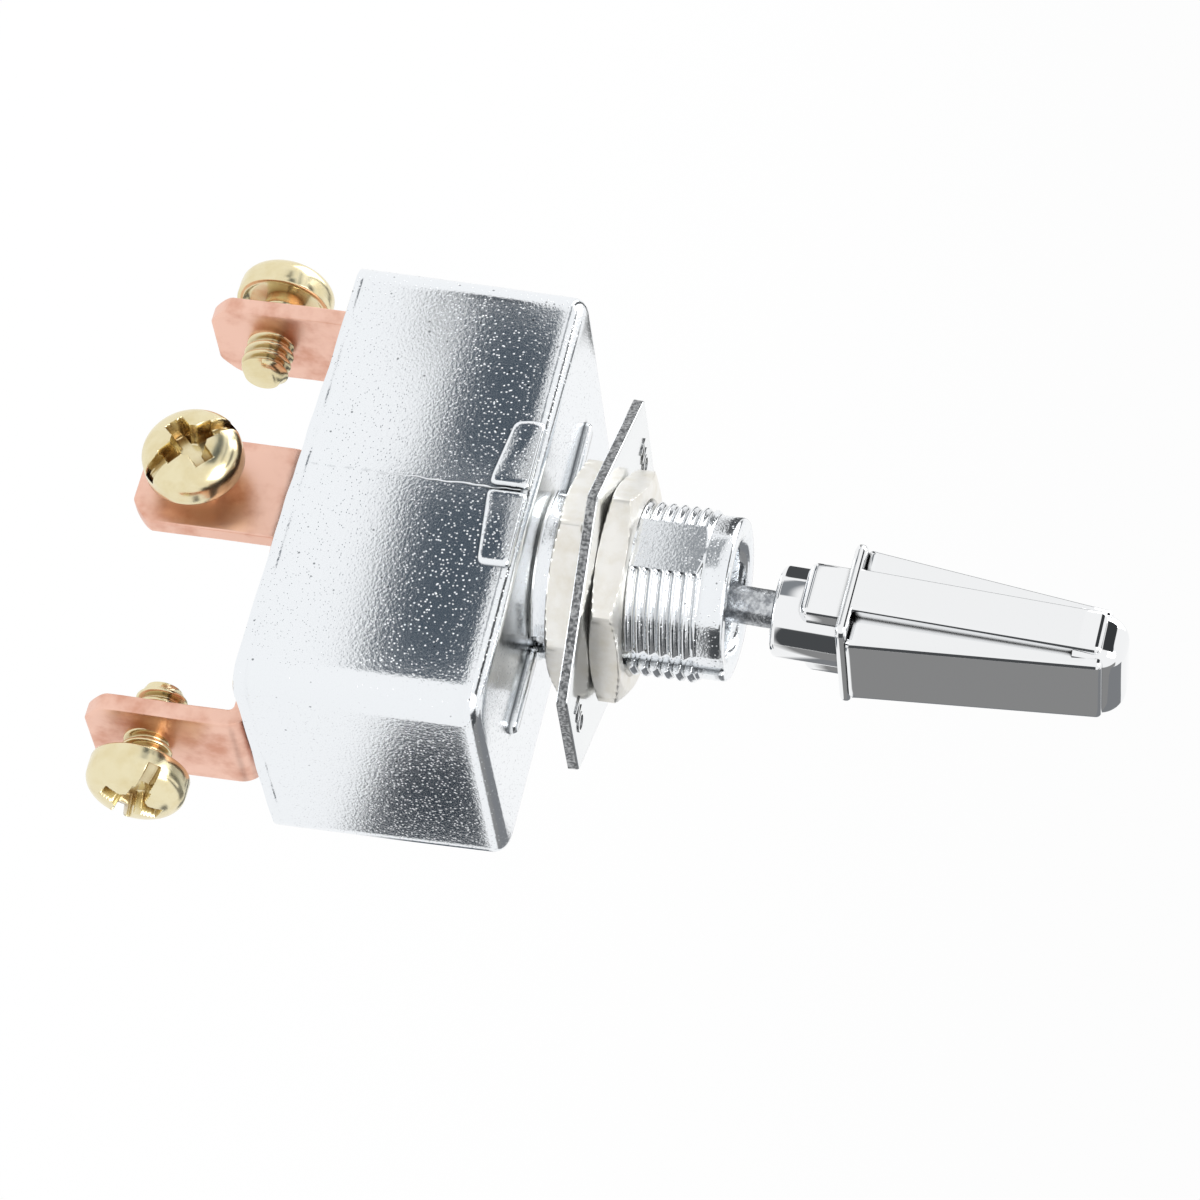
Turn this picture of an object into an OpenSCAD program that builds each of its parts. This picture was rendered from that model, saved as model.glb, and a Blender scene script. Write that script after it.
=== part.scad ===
// Heavy-duty panel toggle switch: single pole, on-off-on, with three screw terminals.
//
// Millimetres. +Z runs along the bushing, out of the panel and up the handle. X is the
// long side of the housing and the plane in which the lever swings. The origin lies on
// the bushing's axis, in the plane of the housing's front face.
//
// Threads are drawn as plain cylinders: at the crest where a thread is free, and at the
// pitch radius where a nut engages it.

/* [Housing] */
// Length of the housing along X
body_l = 35; // [34:0.5:38]
// Width of the housing along Y, at its back
body_w = 20.2; // [19.6:0.1:23]
// Depth of the housing behind its front face
body_d = 16.1; // [15.8:0.1:16.5]
// Radius of the housing's upright corners
body_corner_r = 2; // [1.5:0.1:3]
// Radius round the edge of the front face
front_edge_r = 1; // [0.5:0.1:1.5]
// Draft of the casting, taken off each side at the front
draft = 0.2; // [0:0.05:0.5]
// Thickness of the side walls
wall = 1.7; // [1.4:0.1:1.9]
// Thickness of the front wall
front_wall = 2; // [1.5:0.1:2.2]

/* [Bushing] */
// Crest radius of the bushing thread (15/32 inch)
thread_r = 5.95; // [5.85:0.05:6.05]
// Thread pitch (32 to the inch)
thread_pitch = 0.794; // [0.75:0.001:1]
// Height of the bushing above the front face
bushing_h = 13.2; // [12.5:0.1:15]
// Length of the plain end of the bushing
plain_end_l = 1.9; // [1:0.1:2.5]
// Radius of the plain end
plain_end_r = 5.6; // [5.4:0.05:5.7]
// Radius of the bore in which the lever's ball sits
bore_r = 3.9; // [3.8:0.05:4.1]

/* [Nuts and plate] */
// Hexagon size of both nuts, across flats
nut_af = 14.3; // [14:0.1:16]
// Height of the front face at which the rear nut starts
rear_nut_z = 1.4; // [1:0.1:2]
// Thickness of the rear nut
rear_nut_t = 2.3; // [2:0.1:2.5]
// Thickness of the front nut
front_nut_t = 2.05; // [2:0.05:2.4]
// Turn of the rear nut's corner from +X, in degrees
rear_nut_turn = 37; // [0:1:59]
// Turn of the front nut's corner from +X, in degrees
front_nut_turn = 19; // [0:1:59]
// Length of the indicator plate along X
plate_l = 25; // [24:0.5:30]
// Length of the plate's two straight ends
plate_end_w = 8.4; // [7:0.1:10]
// Width of the plate along Y, over its two side points
plate_w = 21; // [19:0.5:24]
// Thickness of the plate
plate_t = 0.75; // [0.5:0.05:0.9]

/* [Handle] */
// Height at which the handle's sleeve starts
handle_z = 16.1; // [15.5:0.1:17]
// Radius of the round sleeve
sleeve_r = 3.15; // [2.8:0.05:3.4]
// Height of the flange's lower face
flange_z = 20.7; // [20:0.1:21.5]
// Thickness of the flange
flange_t = 1; // [0.8:0.1:1.5]
// Height of the handle's tip
tip_z = 39.9; // [36:0.1:44]
// Half thickness of the paddle over its pads, at the flange
pad_x_root = 3.92; // [3.5:0.01:4]
// Half thickness of the paddle over its pads, at the tip
pad_x_tip = 2.36; // [2:0.01:3]

/* [Lever] */
// Height of the lever's cross pin
pivot_z = 5.7; // [5.6:0.1:6]
// Radius of the cross pin
lever_pin_r = 0.8; // [0.8:0.05:1]
// Radius of the lever's ball
ball_r = 3.7; // [3.6:0.05:3.7]
// Radius of the lever's neck
neck_r = 1.3; // [1.2:0.05:1.6]
// Radius of the arm below the ball
arm_r = 2.7; // [2.5:0.05:2.7]
// Lean of the lever at rest, within the play of its centre position, in degrees
lever_lean = 2.2; // [-3:0.1:3]

/* [Contacts] */
// Height of the rocker's pin
rocker_z = -9.4; // [-9.45:0.01:-9.35]
// Length of the rocker
rocker_l = 26.8; // [26:0.1:27.4]
// Thickness of the rocker's arms
rocker_t = 1.2; // [1:0.05:1.2]
// Width of the rocker
rocker_w = 6.6; // [6:0.1:6.7]
// Slope of the rocker's shallow V, in degrees
rocker_slope = 6; // [4:0.5:6]
// Radius of the plunger
plunger_r = 1.6; // [1.5:0.05:1.6]
// Number of turns of the plunger spring
spring_turns = 6; // [4:1:7]

/* [Terminals] */
// Width of the copper strips
strip_w = 7.4; // [6.5:0.1:8]
// Thickness of the copper strips
strip_t = 1.25; // [1:0.05:1.4]
// Height of the strips' free ends
strip_end_z = -28; // [-30:0.1:-27]
// Distance from the axis to the outer face of the two outer strips
outer_strip_x = 17.3; // [16.9:0.1:17.5]
// Distance from the axis to the outer face of the middle strip
middle_strip_y = 6.1; // [5.9:0.05:6.3]
// Height of the terminal screws
screw_z = -23.8; // [-24.4:0.1:-23.5]
// Crest radius of the terminal screws (number 6)
screw_r = 1.753; // [1.7:0.001:2.2]
// Gap left under each screw head for a wire lug
screw_gap = 2.1; // [0:0.1:3]
// Length of the screws that shows beyond the strips
screw_tip = 2.8; // [0.5:0.1:3]
// Radius of the screw heads
screw_head_r = 3.45; // [3.3:0.05:4]
// Height of the screw heads
screw_head_h = 2.85; // [2.2:0.05:3]

/* [Hidden] */

$fn = 64;
hull_fn = 32;
over = 0.5;          // how far a cut runs past the face it opens

// housing and base
cavity_l = body_l - 2 * wall;
cavity_w = body_w - 2 * wall;
cavity_r = 1;
seat_step = 0.5;     // ledge between the cavity and the seat of the base
seat_l = cavity_l + 2 * seat_step;
seat_w = cavity_w + 2 * seat_step;
seat_r = cavity_r + seat_step;
base_front_z = -12.8;
flange_back_z = 0.3 - body_d;
platform_inset = 1.5;
platform_back_z = flange_back_z - 0.6;
stake_r = 0.9;
rib_w = 1.2;
rib_h = 0.5;
rib_y = 0.4;
rib_end_x = 12.5;
tab_proud = 0.3;

// bushing, nuts and plate
pitch_r = thread_r - 0.325 * thread_pitch;
thread_end_z = bushing_h - plain_end_l;
plate_z = rear_nut_z + rear_nut_t;
front_nut_z = plate_z + plate_t;
front_nut_end_z = front_nut_z + front_nut_t;
keyway_w = 2;
keyway_x = 5.2;
thread_flat_y = thread_r - 0.18;
flare_r = bore_r + 1.2;
flare_top_z = 2.2;

// lever and plunger
rocker_ratio = -0.57; // turn of the rocker for each degree of the lever
arm_end_z = -5;
neck_top_z = 27;
fit_gap = 0.05;
spring_bore_r = plunger_r + fit_gap;
spring_bore_z = 1.8;
nose_r = 1.2;
v_bottom_z = rocker_z + 1.85;
nose_z = v_bottom_z + fit_gap + nose_r;
plunger_top_z = -2.2;
spring_wire_r = 0.25;
spring_mean_r = 1.15;

// contacts
strip_bend_r = strip_t + 0.4;
strip_foot_l = 9.1;
rivet_from_face = middle_strip_y;
contact_x = outer_strip_x - rivet_from_face;
rivet_r = 1.6;
rivet_tail_r = 2.5;
rivet_tail_h = 0.8;
contact_face_z = base_front_z + 1.45;
foot_back_z = platform_back_z - strip_t;
fulcrum_t = 0.9;
ear_gap = 0.1;
ear_y = rocker_w / 2 + ear_gap;
rocker_pin_r = 0.8;
knuckle_r = 1.6;
v_reach = 4.5;
arm_top = v_bottom_z - rocker_z + v_reach * tan(rocker_slope);
tip_dome_r = 5;
tip_low_z = contact_face_z + 1.65;
tip_r = 2.2;
tip_shank_r = 1;

zinc = [0.82, 0.84, 0.86];
nickel = [0.80, 0.78, 0.73];
chrome = [0.88, 0.89, 0.90];
steel = [0.62, 0.63, 0.65];
brass = [0.80, 0.66, 0.36];
copper = [0.85, 0.58, 0.45];
silver = [0.90, 0.90, 0.88];
phenolic = [0.20, 0.13, 0.09];
fibre = [0.66, 0.60, 0.50];

// ---- shapes that are used more than once

// Rectangle with round corners, centred on the origin.
module round_rect(l, w, r) {
    square([l - 2 * r, w], center = true);
    square([l, w - 2 * r], center = true);
    for (sx = [-1, 1], sy = [-1, 1])
        translate([sx * (l / 2 - r), sy * (w / 2 - r)]) circle(r);
}

// Upright plate with a round_rect outline, its lower face at z.
module round_plate(l, w, r, z, h) {
    translate([0, 0, z]) linear_extrude(h) round_rect(l, w, r);
}

// Slot outline from x1 to x2 with round ends.
module slot_outline(x1, x2, w) {
    translate([x1, -w / 2]) square([x2 - x1, w]);
    for (x = [x1, x2]) translate([x, 0]) circle(d = w);
}

// Moves what was drawn in an XZ outline into place: the outline's y becomes Z, and the
// solid runs w / 2 to each side of the XZ plane.
module across_y(w) {
    rotate([90, 0, 0]) linear_extrude(w, center = true) children();
}

// Turns what is drawn upright about a pin along Y at height z.
module leaned(angle, z) {
    translate([0, 0, z]) rotate([0, angle, 0]) translate([0, 0, -z]) children();
}

// Puts what belongs to the lever or to the rocker at its lean at rest.
module on_lever() { leaned(lever_lean, pivot_z) children(); }
module on_rocker() { leaned(rocker_ratio * lever_lean, rocker_z) children(); }

// Headed rivet on the Z axis: head, shank through the base and one strip, closed tail.
module base_rivet(head_r, head_top_z) {
    translate([0, 0, base_front_z]) cylinder(r = head_r, h = head_top_z - base_front_z);
    translate([0, 0, foot_back_z]) cylinder(r = rivet_r, h = base_front_z - foot_back_z);
    translate([0, 0, foot_back_z - rivet_tail_h])
        cylinder(r1 = rivet_tail_r - 0.5, r2 = rivet_tail_r, h = rivet_tail_h);
}

// ---- housing

// One level of the casting's outside, drawn in by the draft and by inset.
module casting_level(z, inset) {
    taper = draft * (1 + z / body_d);
    pull = 2 * (inset + taper);
    translate([0, 0, z]) linear_extrude(0.01)
        round_rect(body_l - pull, body_w - pull, body_corner_r - inset, $fn = hull_fn);
}

// Outside of the box: drafted walls and a quarter round into the front face.
module casting_box() {
    hull() {
        casting_level(-body_d, 0);
        for (a = [0:22.5:90])
            casting_level(-front_edge_r + front_edge_r * sin(a) - 0.01,
                front_edge_r * (1 - cos(a)));
    }
}

// Two raised ribs along X on the front face.
module face_ribs() {
    for (side = [0, 180]) rotate([0, 0, side])
        translate([0, side == 0 ? rib_y : -rib_y, -over]) linear_extrude(over + rib_h)
            slot_outline(pitch_r + 0.8, rib_end_x - rib_w / 2, rib_w);
}

// Raised pad across the parting line on the long face, with one slanted corner.
module parting_tab() {
    front = -0.2;
    side_y = -(body_w / 2 - draft) - tab_proud;
    translate([0, side_y, 0]) rotate([-90, 0, 0]) linear_extrude(tab_proud + over)
        polygon([[-5, -front], [6.1, -front], [6.1, 2.5], [0.9, 3.1], [-0.9, 3.1],
            [-5.75, 2.5], [-5.75, 1.1]]);
}

// Outside of the bushing. It is at the pitch radius inside the nuts.
module bushing_outside() {
    translate([0, 0, -over]) cylinder(r = pitch_r, h = thread_end_z + over);
    translate([0, 0, plate_z]) cylinder(r = thread_r, h = plate_t);
    translate([0, 0, front_nut_end_z])
        cylinder(r = thread_r, h = thread_end_z - front_nut_end_z);
    cylinder(r = plain_end_r, h = bushing_h);
}

// Flats on two sides of the thread and the keyway on the third.
module bushing_cuts() {
    for (sy = [-1, 1])
        translate([-thread_r, sy > 0 ? thread_flat_y : -thread_flat_y - 1, plate_z])
            cube([2 * thread_r, 1, thread_end_z - plate_z]);
    translate([keyway_x, -keyway_w / 2, 0]) cube([2, keyway_w, bushing_h + over]);
}

// Bore of the bushing: straight round the ball, flared below for the swinging arm.
module lever_way() {
    translate([0, 0, flare_top_z]) cylinder(r = bore_r, h = bushing_h);
    translate([0, 0, -front_wall])
        cylinder(r1 = flare_r, r2 = bore_r, h = flare_top_z + front_wall);
    translate([0, 0, -front_wall - over]) cylinder(r = flare_r, h = over);
}

// Stakes at the back: half-round dents that push the rim over the base's flange.
module rim_stakes() {
    stake_h = flange_back_z + body_d;
    intersection() {
        round_plate(body_l - 2 * draft, body_w - 2 * draft, body_corner_r, -body_d, stake_h);
        union() {
            for (x = [-10.5, 0, 10.5], sy = [-1, 1])
                translate([x, sy * seat_w / 2, -body_d]) cylinder(r = stake_r, h = stake_h);
            for (y = [-5, 5], sx = [-1, 1])
                translate([sx * seat_l / 2, y, -body_d]) cylinder(r = stake_r, h = stake_h);
        }
    }
}

module housing() {
    color(zinc) {
        difference() {
            union() {
                casting_box();
                face_ribs();
                parting_tab();
                bushing_outside();
            }
            round_plate(cavity_l, cavity_w, cavity_r, -body_d, body_d - front_wall);
            round_plate(seat_l, seat_w, seat_r, -body_d - over,
                body_d + over + base_front_z);
            lever_way();
            bushing_cuts();
            translate([0, 0, pivot_z]) rotate([90, 0, 0])
                cylinder(r = lever_pin_r, h = 3 * thread_r, center = true);
        }
        rim_stakes();
    }
}

// ---- base and liner

module base_insulator() {
    rib_x = contact_x / 2 + 1;
    color(phenolic) difference() {
        union() {
            round_plate(seat_l, seat_w, seat_r, flange_back_z,
                base_front_z - flange_back_z);
            round_plate(seat_l - 2 * platform_inset, seat_w - 2 * platform_inset, 1,
                platform_back_z, flange_back_z - platform_back_z);
            for (sx = [-1, 1])
                translate([sx * rib_x - 0.6, -strip_w, base_front_z])
                    cube([1.2, 2 * strip_w, 1.4]);
        }
        for (x = [-contact_x, 0, contact_x])
            translate([x, 0, platform_back_z - over]) cylinder(r = rivet_r, h = 5);
    }
}

module insulating_liner() {
    liner_t = 0.4;
    liner_h = -front_wall - base_front_z;
    color(fibre) difference() {
        round_plate(cavity_l, cavity_w, cavity_r, base_front_z, liner_h);
        round_plate(cavity_l - 2 * liner_t, cavity_w - 2 * liner_t, cavity_r - liner_t,
            base_front_z - over, liner_h + 2 * over);
    }
}

// ---- terminals

// One copper strip, bent to an L. Its outer face is the plane x = 0, its foot runs
// towards -X under the base, and its leg runs down to the free end.
module terminal_strip() {
    leg_l = platform_back_z - strip_end_z;
    chamfer = 1.4;
    difference() {
        across_y(strip_w) {
            translate([-strip_foot_l, -strip_t]) square([strip_foot_l - strip_bend_r, strip_t]);
            translate([-strip_t, -leg_l]) square([strip_t, leg_l - strip_bend_r]);
            translate([-strip_bend_r, -strip_bend_r]) intersection() {
                difference() {
                    circle(strip_bend_r);
                    circle(strip_bend_r - strip_t);
                }
                square(strip_bend_r);
            }
        }
        for (sy = [-1, 1])
            translate([-strip_t / 2, sy * strip_w / 2, -leg_l]) rotate([45, 0, 0])
                cube([2 * strip_t, chamfer * sqrt(2), chamfer * sqrt(2)], center = true);
        translate([-rivet_from_face, 0, -strip_t - over])
            cylinder(r = rivet_r, h = strip_t + 2 * over);
        translate([-strip_t - over, 0, screw_z - platform_back_z]) rotate([0, 90, 0])
            cylinder(r = screw_r, h = strip_t + 2 * over);
    }
}

// Puts what is drawn for a strip at the origin where one of the three strips is.
module at_terminal(turn, reach) {
    rotate([0, 0, turn]) translate([reach, 0, platform_back_z]) children();
}

module terminal_left() { color(copper) at_terminal(180, outer_strip_x) terminal_strip(); }
module terminal_right() { color(copper) at_terminal(0, outer_strip_x) terminal_strip(); }
module terminal_middle() { color(copper) at_terminal(-90, middle_strip_y) terminal_strip(); }

// Binding-head screw in a strip: domed head with a slot and a cross, standing off the
// strip's outer face, and the shank through the strip. slot_turn turns the recess.
module terminal_screw(slot_turn) {
    shank_l = screw_gap + strip_t + screw_tip;
    edge_h = 1.7;
    slot_w = 1;
    slot_depth = 0.9;
    cross_l = 3.9;
    cross_depth = 1.6;
    dome_r = (pow(screw_head_r, 2) + pow(screw_head_h - edge_h, 2))
        / (2 * (screw_head_h - edge_h));
    translate([screw_gap, 0, screw_z - platform_back_z]) rotate([0, 90, 0]) {
        translate([0, 0, -shank_l]) cylinder(r = screw_r, h = shank_l + over);
        difference() {
            intersection() {
                cylinder(r = screw_head_r, h = screw_head_h);
                translate([0, 0, screw_head_h - dome_r]) sphere(dome_r);
            }
            translate([0, 0, screw_head_h]) rotate([0, 0, slot_turn]) {
                cube([2 * screw_head_r + 1, slot_w, 2 * slot_depth], center = true);
                for (a = [0, 90]) rotate([0, 0, a])
                    cube([cross_l, slot_w, 2 * cross_depth], center = true);
            }
        }
    }
}

module screw_left() {
    color(brass) at_terminal(180, outer_strip_x) terminal_screw(20);
}
module screw_right() {
    color(brass) at_terminal(0, outer_strip_x) terminal_screw(58);
}
module screw_middle() {
    color(brass) at_terminal(-90, middle_strip_y) terminal_screw(46);
}

// ---- contacts

module contact_rivet() {
    base_rivet(3, contact_face_z);
}

module contact_left() { color(copper) translate([-contact_x, 0, 0]) contact_rivet(); }
module contact_right() { color(copper) translate([contact_x, 0, 0]) contact_rivet(); }

// Rivet that holds the fulcrum and the middle strip to the base.
module centre_rivet() {
    color(copper) {
        base_rivet(rivet_r, base_front_z + fulcrum_t);
        translate([0, 0, base_front_z + fulcrum_t]) cylinder(r = 2.3, h = 0.6);
    }
}

// U-shaped centre contact: a floor on the base and two ears with the rocker's pin.
module fulcrum() {
    ear_l = 5.2;
    floor_w = 2 * (ear_y + fulcrum_t);
    color(copper) difference() {
        union() {
            translate([-4, -floor_w / 2, base_front_z]) cube([8, floor_w, fulcrum_t]);
            for (sy = [-1, 1]) translate([0, sy * (ear_y + fulcrum_t / 2), 0])
                across_y(fulcrum_t) {
                    translate([-ear_l / 2, base_front_z])
                        square([ear_l, rocker_z - base_front_z - 1]);
                    translate([-1.7, base_front_z]) square([3.4, rocker_z - base_front_z]);
                    translate([0, rocker_z]) circle(1.7);
                }
        }
        translate([0, 0, rocker_z]) rotate([90, 0, 0])
            cylinder(r = rocker_pin_r, h = 2 * floor_w, center = true);
        translate([0, 0, base_front_z - over]) cylinder(r = rivet_r, h = 2);
    }
}

module rocker_pin() {
    color(steel) translate([0, 0, rocker_z]) rotate([90, 0, 0])
        cylinder(r = rocker_pin_r, h = 2 * (ear_y + fulcrum_t) + 0.6, center = true);
}

// See-saw bar: two flat arms, a shallow V on top for the plunger's nose, and a knuckle
// that turns on the pin.
module rocker() {
    half = rocker_l / 2;
    low = arm_top - rocker_t;
    color(copper) on_rocker() translate([0, 0, rocker_z]) difference() {
        union() {
            across_y(rocker_w) polygon([[-half, arm_top], [-v_reach, arm_top],
                [0, v_bottom_z - rocker_z], [v_reach, arm_top], [half, arm_top],
                [half, low], [-half, low]]);
            rotate([90, 0, 0]) cylinder(r = knuckle_r, h = rocker_w, center = true);
        }
        rotate([90, 0, 0])
            cylinder(r = rocker_pin_r + fit_gap, h = 2 * rocker_w, center = true);
        for (sx = [-1, 1]) translate([sx * contact_x, 0, low - over])
            cylinder(r = tip_shank_r, h = rocker_t + 2 * over);
    }
}

// Contact button riveted through a rocker arm, with a domed face.
module rocker_tip() {
    arm_z = rocker_z + arm_top;
    translate([contact_x, 0, 0]) {
        intersection() {
            translate([0, 0, tip_low_z])
                cylinder(r = tip_r, h = arm_z - rocker_t - tip_low_z);
            translate([0, 0, tip_low_z + tip_dome_r]) sphere(tip_dome_r);
        }
        translate([0, 0, arm_z - rocker_t - 0.2])
            cylinder(r = tip_shank_r, h = rocker_t + 0.4);
        translate([0, 0, arm_z]) cylinder(r1 = 1.6, r2 = 1.3, h = 0.45);
    }
}

module rocker_tip_left() { color(silver) on_rocker() mirror([1, 0, 0]) rocker_tip(); }
module rocker_tip_right() { color(silver) on_rocker() rocker_tip(); }

// ---- lever

module lever_pin() {
    color(steel) translate([0, 0, pivot_z]) rotate([90, 0, 0])
        cylinder(r = lever_pin_r, h = 2 * (pitch_r - 0.2), center = true);
}

// Turned lever: neck for the handle, ball on the cross pin, hollow arm for the plunger.
module lever() {
    cone_z = pivot_z + 2.6;
    color(steel) on_lever() difference() {
        union() {
            translate([0, 0, pivot_z]) sphere(ball_r);
            translate([0, 0, arm_end_z]) cylinder(r = arm_r, h = pivot_z - arm_end_z);
            translate([0, 0, cone_z]) cylinder(r1 = 2.6, r2 = neck_r, h = 2.4);
            translate([0, 0, pivot_z]) cylinder(r = neck_r, h = neck_top_z - pivot_z - 0.5);
            translate([0, 0, neck_top_z - 0.5])
                cylinder(r1 = neck_r, r2 = neck_r - 0.4, h = 0.5);
        }
        translate([0, 0, pivot_z]) rotate([90, 0, 0])
            cylinder(r = lever_pin_r + fit_gap, h = 3 * ball_r, center = true);
        translate([0, 0, arm_end_z - over])
            cylinder(r = spring_bore_r, h = spring_bore_z - arm_end_z + over);
    }
}

// Plunger: a pin with a ball nose, and a spigot that centres the spring.
module plunger() {
    shoulder_z = nose_z + 0.3;
    color(brass) on_lever() {
        translate([0, 0, shoulder_z]) cylinder(r = plunger_r, h = plunger_top_z - shoulder_z);
        translate([0, 0, nose_z]) cylinder(r1 = nose_r, r2 = plunger_r, h = 0.3);
        translate([0, 0, nose_z]) sphere(nose_r);
        translate([0, 0, plunger_top_z]) cylinder(r = 0.7, h = 1.2);
    }
}

// Point of the spring wire's surface: i counts along the helix, k round the wire.
function spring_point(i, k, per_turn, z0, rise, sides) =
    let (along = 360 * i / per_turn, round = 360 * k / sides,
         r = spring_mean_r + spring_wire_r * cos(round))
    [r * cos(along), r * sin(along),
        z0 + rise * i / per_turn + spring_wire_r * sin(round)];

module plunger_spring() {
    per_turn = 14;
    sides = 7;
    steps = spring_turns * per_turn;
    z0 = plunger_top_z + spring_wire_r;
    rise = (spring_bore_z - plunger_top_z - 2 * spring_wire_r) / spring_turns;
    points = [for (i = [0:steps], k = [0:sides - 1])
        spring_point(i, k, per_turn, z0, rise, sides)];
    walls = [for (i = [0:steps - 1], k = [0:sides - 1])
        let (a = i * sides + k, b = i * sides + (k + 1) % sides)
        [a, b, b + sides, a + sides]];
    ends = [[for (k = [sides - 1:-1:0]) k], [for (k = [0:sides - 1]) steps * sides + k]];
    color(steel) on_lever() polyhedron(points, concat(walls, ends), convexity = 8);
}

// ---- handle

// Slab of the handle at one height: half sizes x and y, thickness h.
module handle_level(z, x, y, r, h = 0.01) {
    translate([0, 0, z]) linear_extrude(h) round_rect(2 * x, 2 * y, r, $fn = hull_fn);
}

// Paddle: a thin core that shows as a ledge on its two edges, a tapered pad on each
// wide face, and a domed tip that closes them all.
module paddle() {
    root_z = flange_z + flange_t - 0.2;
    dome_r = 1.9;
    shoulder_z = tip_z - dome_r;
    pad_top_z = shoulder_z + 0.5;
    hull() {
        handle_level(root_z, 1.7, 4.45, 0.5);
        handle_level(shoulder_z, 1.6, 4.15, 0.8);
    }
    hull() {
        handle_level(root_z, pad_x_root, 3.5, 0.35);
        handle_level(pad_top_z, pad_x_tip, 3.35, 0.6);
    }
    hull() for (sx = [-1, 1], sy = [-1, 1])
        translate([sx * (pad_x_tip - dome_r), sy * (3.9 - dome_r), shoulder_z])
            sphere(dome_r, $fn = hull_fn);
}

// Two gussets that carry the flange from the sleeve, one on each ±Y side.
module handle_gussets() {
    gusset_w = 3.7;
    for (turn = [-90, 90]) translate([0, 0, flange_z]) rotate([0, 0, turn]) across_y(gusset_w)
        polygon([[0, 0.2], [4.05, 0.2], [3.45, -1.1], [3.45, -1.7], [2.6, -2.4], [0, -2.4]]);
}

module handle() {
    edge = 0.35;
    color(chrome) on_lever() difference() {
        union() {
            translate([0, 0, handle_z + edge])
                cylinder(r = sleeve_r, h = flange_z - handle_z);
            translate([0, 0, handle_z])
                cylinder(r1 = sleeve_r - edge, r2 = sleeve_r, h = edge);
            handle_gussets();
            round_plate(2 * 3.3, 2 * 4.55, 0.8, flange_z, flange_t);
            paddle();
        }
        translate([0, 0, handle_z - over]) cylinder(r = neck_r, h = neck_top_z - handle_z + over);
    }
}

// ---- nuts and plate

// Hexagon nut with both rims chamfered.
module hex_nut(z, t, turn) {
    corner_r = nut_af / 2 / cos(30);
    chamfer_z = 0.35;
    slope = 1.2;
    translate([0, 0, z]) difference() {
        intersection() {
            rotate([0, 0, turn]) cylinder(r = corner_r, h = t, $fn = 6);
            union() {
                cylinder(r1 = nut_af / 2, r2 = nut_af / 2 + slope, h = chamfer_z);
                translate([0, 0, chamfer_z])
                    cylinder(r = nut_af / 2 + slope, h = t - 2 * chamfer_z);
                translate([0, 0, t - chamfer_z])
                    cylinder(r1 = nut_af / 2 + slope, r2 = nut_af / 2, h = chamfer_z);
            }
        }
        translate([0, 0, -over]) cylinder(r = pitch_r, h = t + 2 * over);
    }
}

module rear_nut() { color(nickel) hex_nut(rear_nut_z, rear_nut_t, rear_nut_turn); }
module front_nut() { color(nickel) hex_nut(front_nut_z, front_nut_t, front_nut_turn); }

// Six-sided indicator plate with a hole for the bushing and a tongue in its keyway.
module indicator_plate() {
    corner = 0.6;
    x = plate_l / 2 - corner;
    y = plate_end_w / 2 - corner / 2;
    hole_r = thread_r + 0.1;
    color(zinc) {
        difference() {
            translate([0, 0, plate_z]) linear_extrude(plate_t) offset(r = corner, $fn = hull_fn)
                polygon([[x, y], [0, plate_w / 2 - corner], [-x, y],
                    [-x, -y], [0, corner - plate_w / 2], [x, -y]]);
            translate([0, 0, plate_z - over]) cylinder(r = hole_r, h = plate_t + 2 * over);
        }
        translate([keyway_x + 0.1, 0.1 - keyway_w / 2, plate_z])
            cube([hole_r - keyway_x, keyway_w - 0.2, plate_t]);
    }
}

// ---- the switch

housing();
base_insulator();
insulating_liner();
terminal_left();
terminal_right();
terminal_middle();
screw_left();
screw_right();
screw_middle();
contact_left();
contact_right();
centre_rivet();
fulcrum();
rocker_pin();
rocker();
rocker_tip_left();
rocker_tip_right();
lever_pin();
lever();
plunger();
plunger_spring();
handle();
rear_nut();
indicator_plate();
front_nut();
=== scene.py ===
"""Looks of a heavy-duty panel toggle switch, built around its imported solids.

Shapes are worked out in millimetres, in the frame of the solids: +Z runs out of the panel
and up the handle, X is the plane in which the lever swings, and the origin lies on the
bushing's axis in the plane of the housing's front face.
"""

import math

import bpy
import numpy as np
from bpy.props import FloatProperty, FloatVectorProperty, PointerProperty
from bpy.types import Operator, Panel, PropertyGroup
from mathutils import Matrix, Vector


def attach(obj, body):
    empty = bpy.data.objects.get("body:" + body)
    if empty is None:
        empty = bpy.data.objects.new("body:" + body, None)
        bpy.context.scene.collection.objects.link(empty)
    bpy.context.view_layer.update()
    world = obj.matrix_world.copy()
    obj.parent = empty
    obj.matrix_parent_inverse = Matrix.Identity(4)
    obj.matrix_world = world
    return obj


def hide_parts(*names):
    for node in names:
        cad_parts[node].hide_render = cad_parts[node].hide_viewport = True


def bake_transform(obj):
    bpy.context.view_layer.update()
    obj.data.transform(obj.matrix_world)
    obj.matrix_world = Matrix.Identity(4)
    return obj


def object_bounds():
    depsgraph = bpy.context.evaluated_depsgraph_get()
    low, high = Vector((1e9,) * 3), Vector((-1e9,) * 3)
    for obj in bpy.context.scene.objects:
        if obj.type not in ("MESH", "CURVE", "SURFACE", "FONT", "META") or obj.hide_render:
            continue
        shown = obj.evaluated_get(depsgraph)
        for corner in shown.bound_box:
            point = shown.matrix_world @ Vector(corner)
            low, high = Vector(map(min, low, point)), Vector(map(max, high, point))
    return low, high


bl_info = {
    "name": "Panel toggle switch",
    "version": (1, 0, 0),
    "blender": (4, 5, 0),
    "location": "3D View > Sidebar > Switch",
    "description": "Builds a panel toggle switch with screw terminals around its solids",
    "category": "Add Mesh",
}

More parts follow.
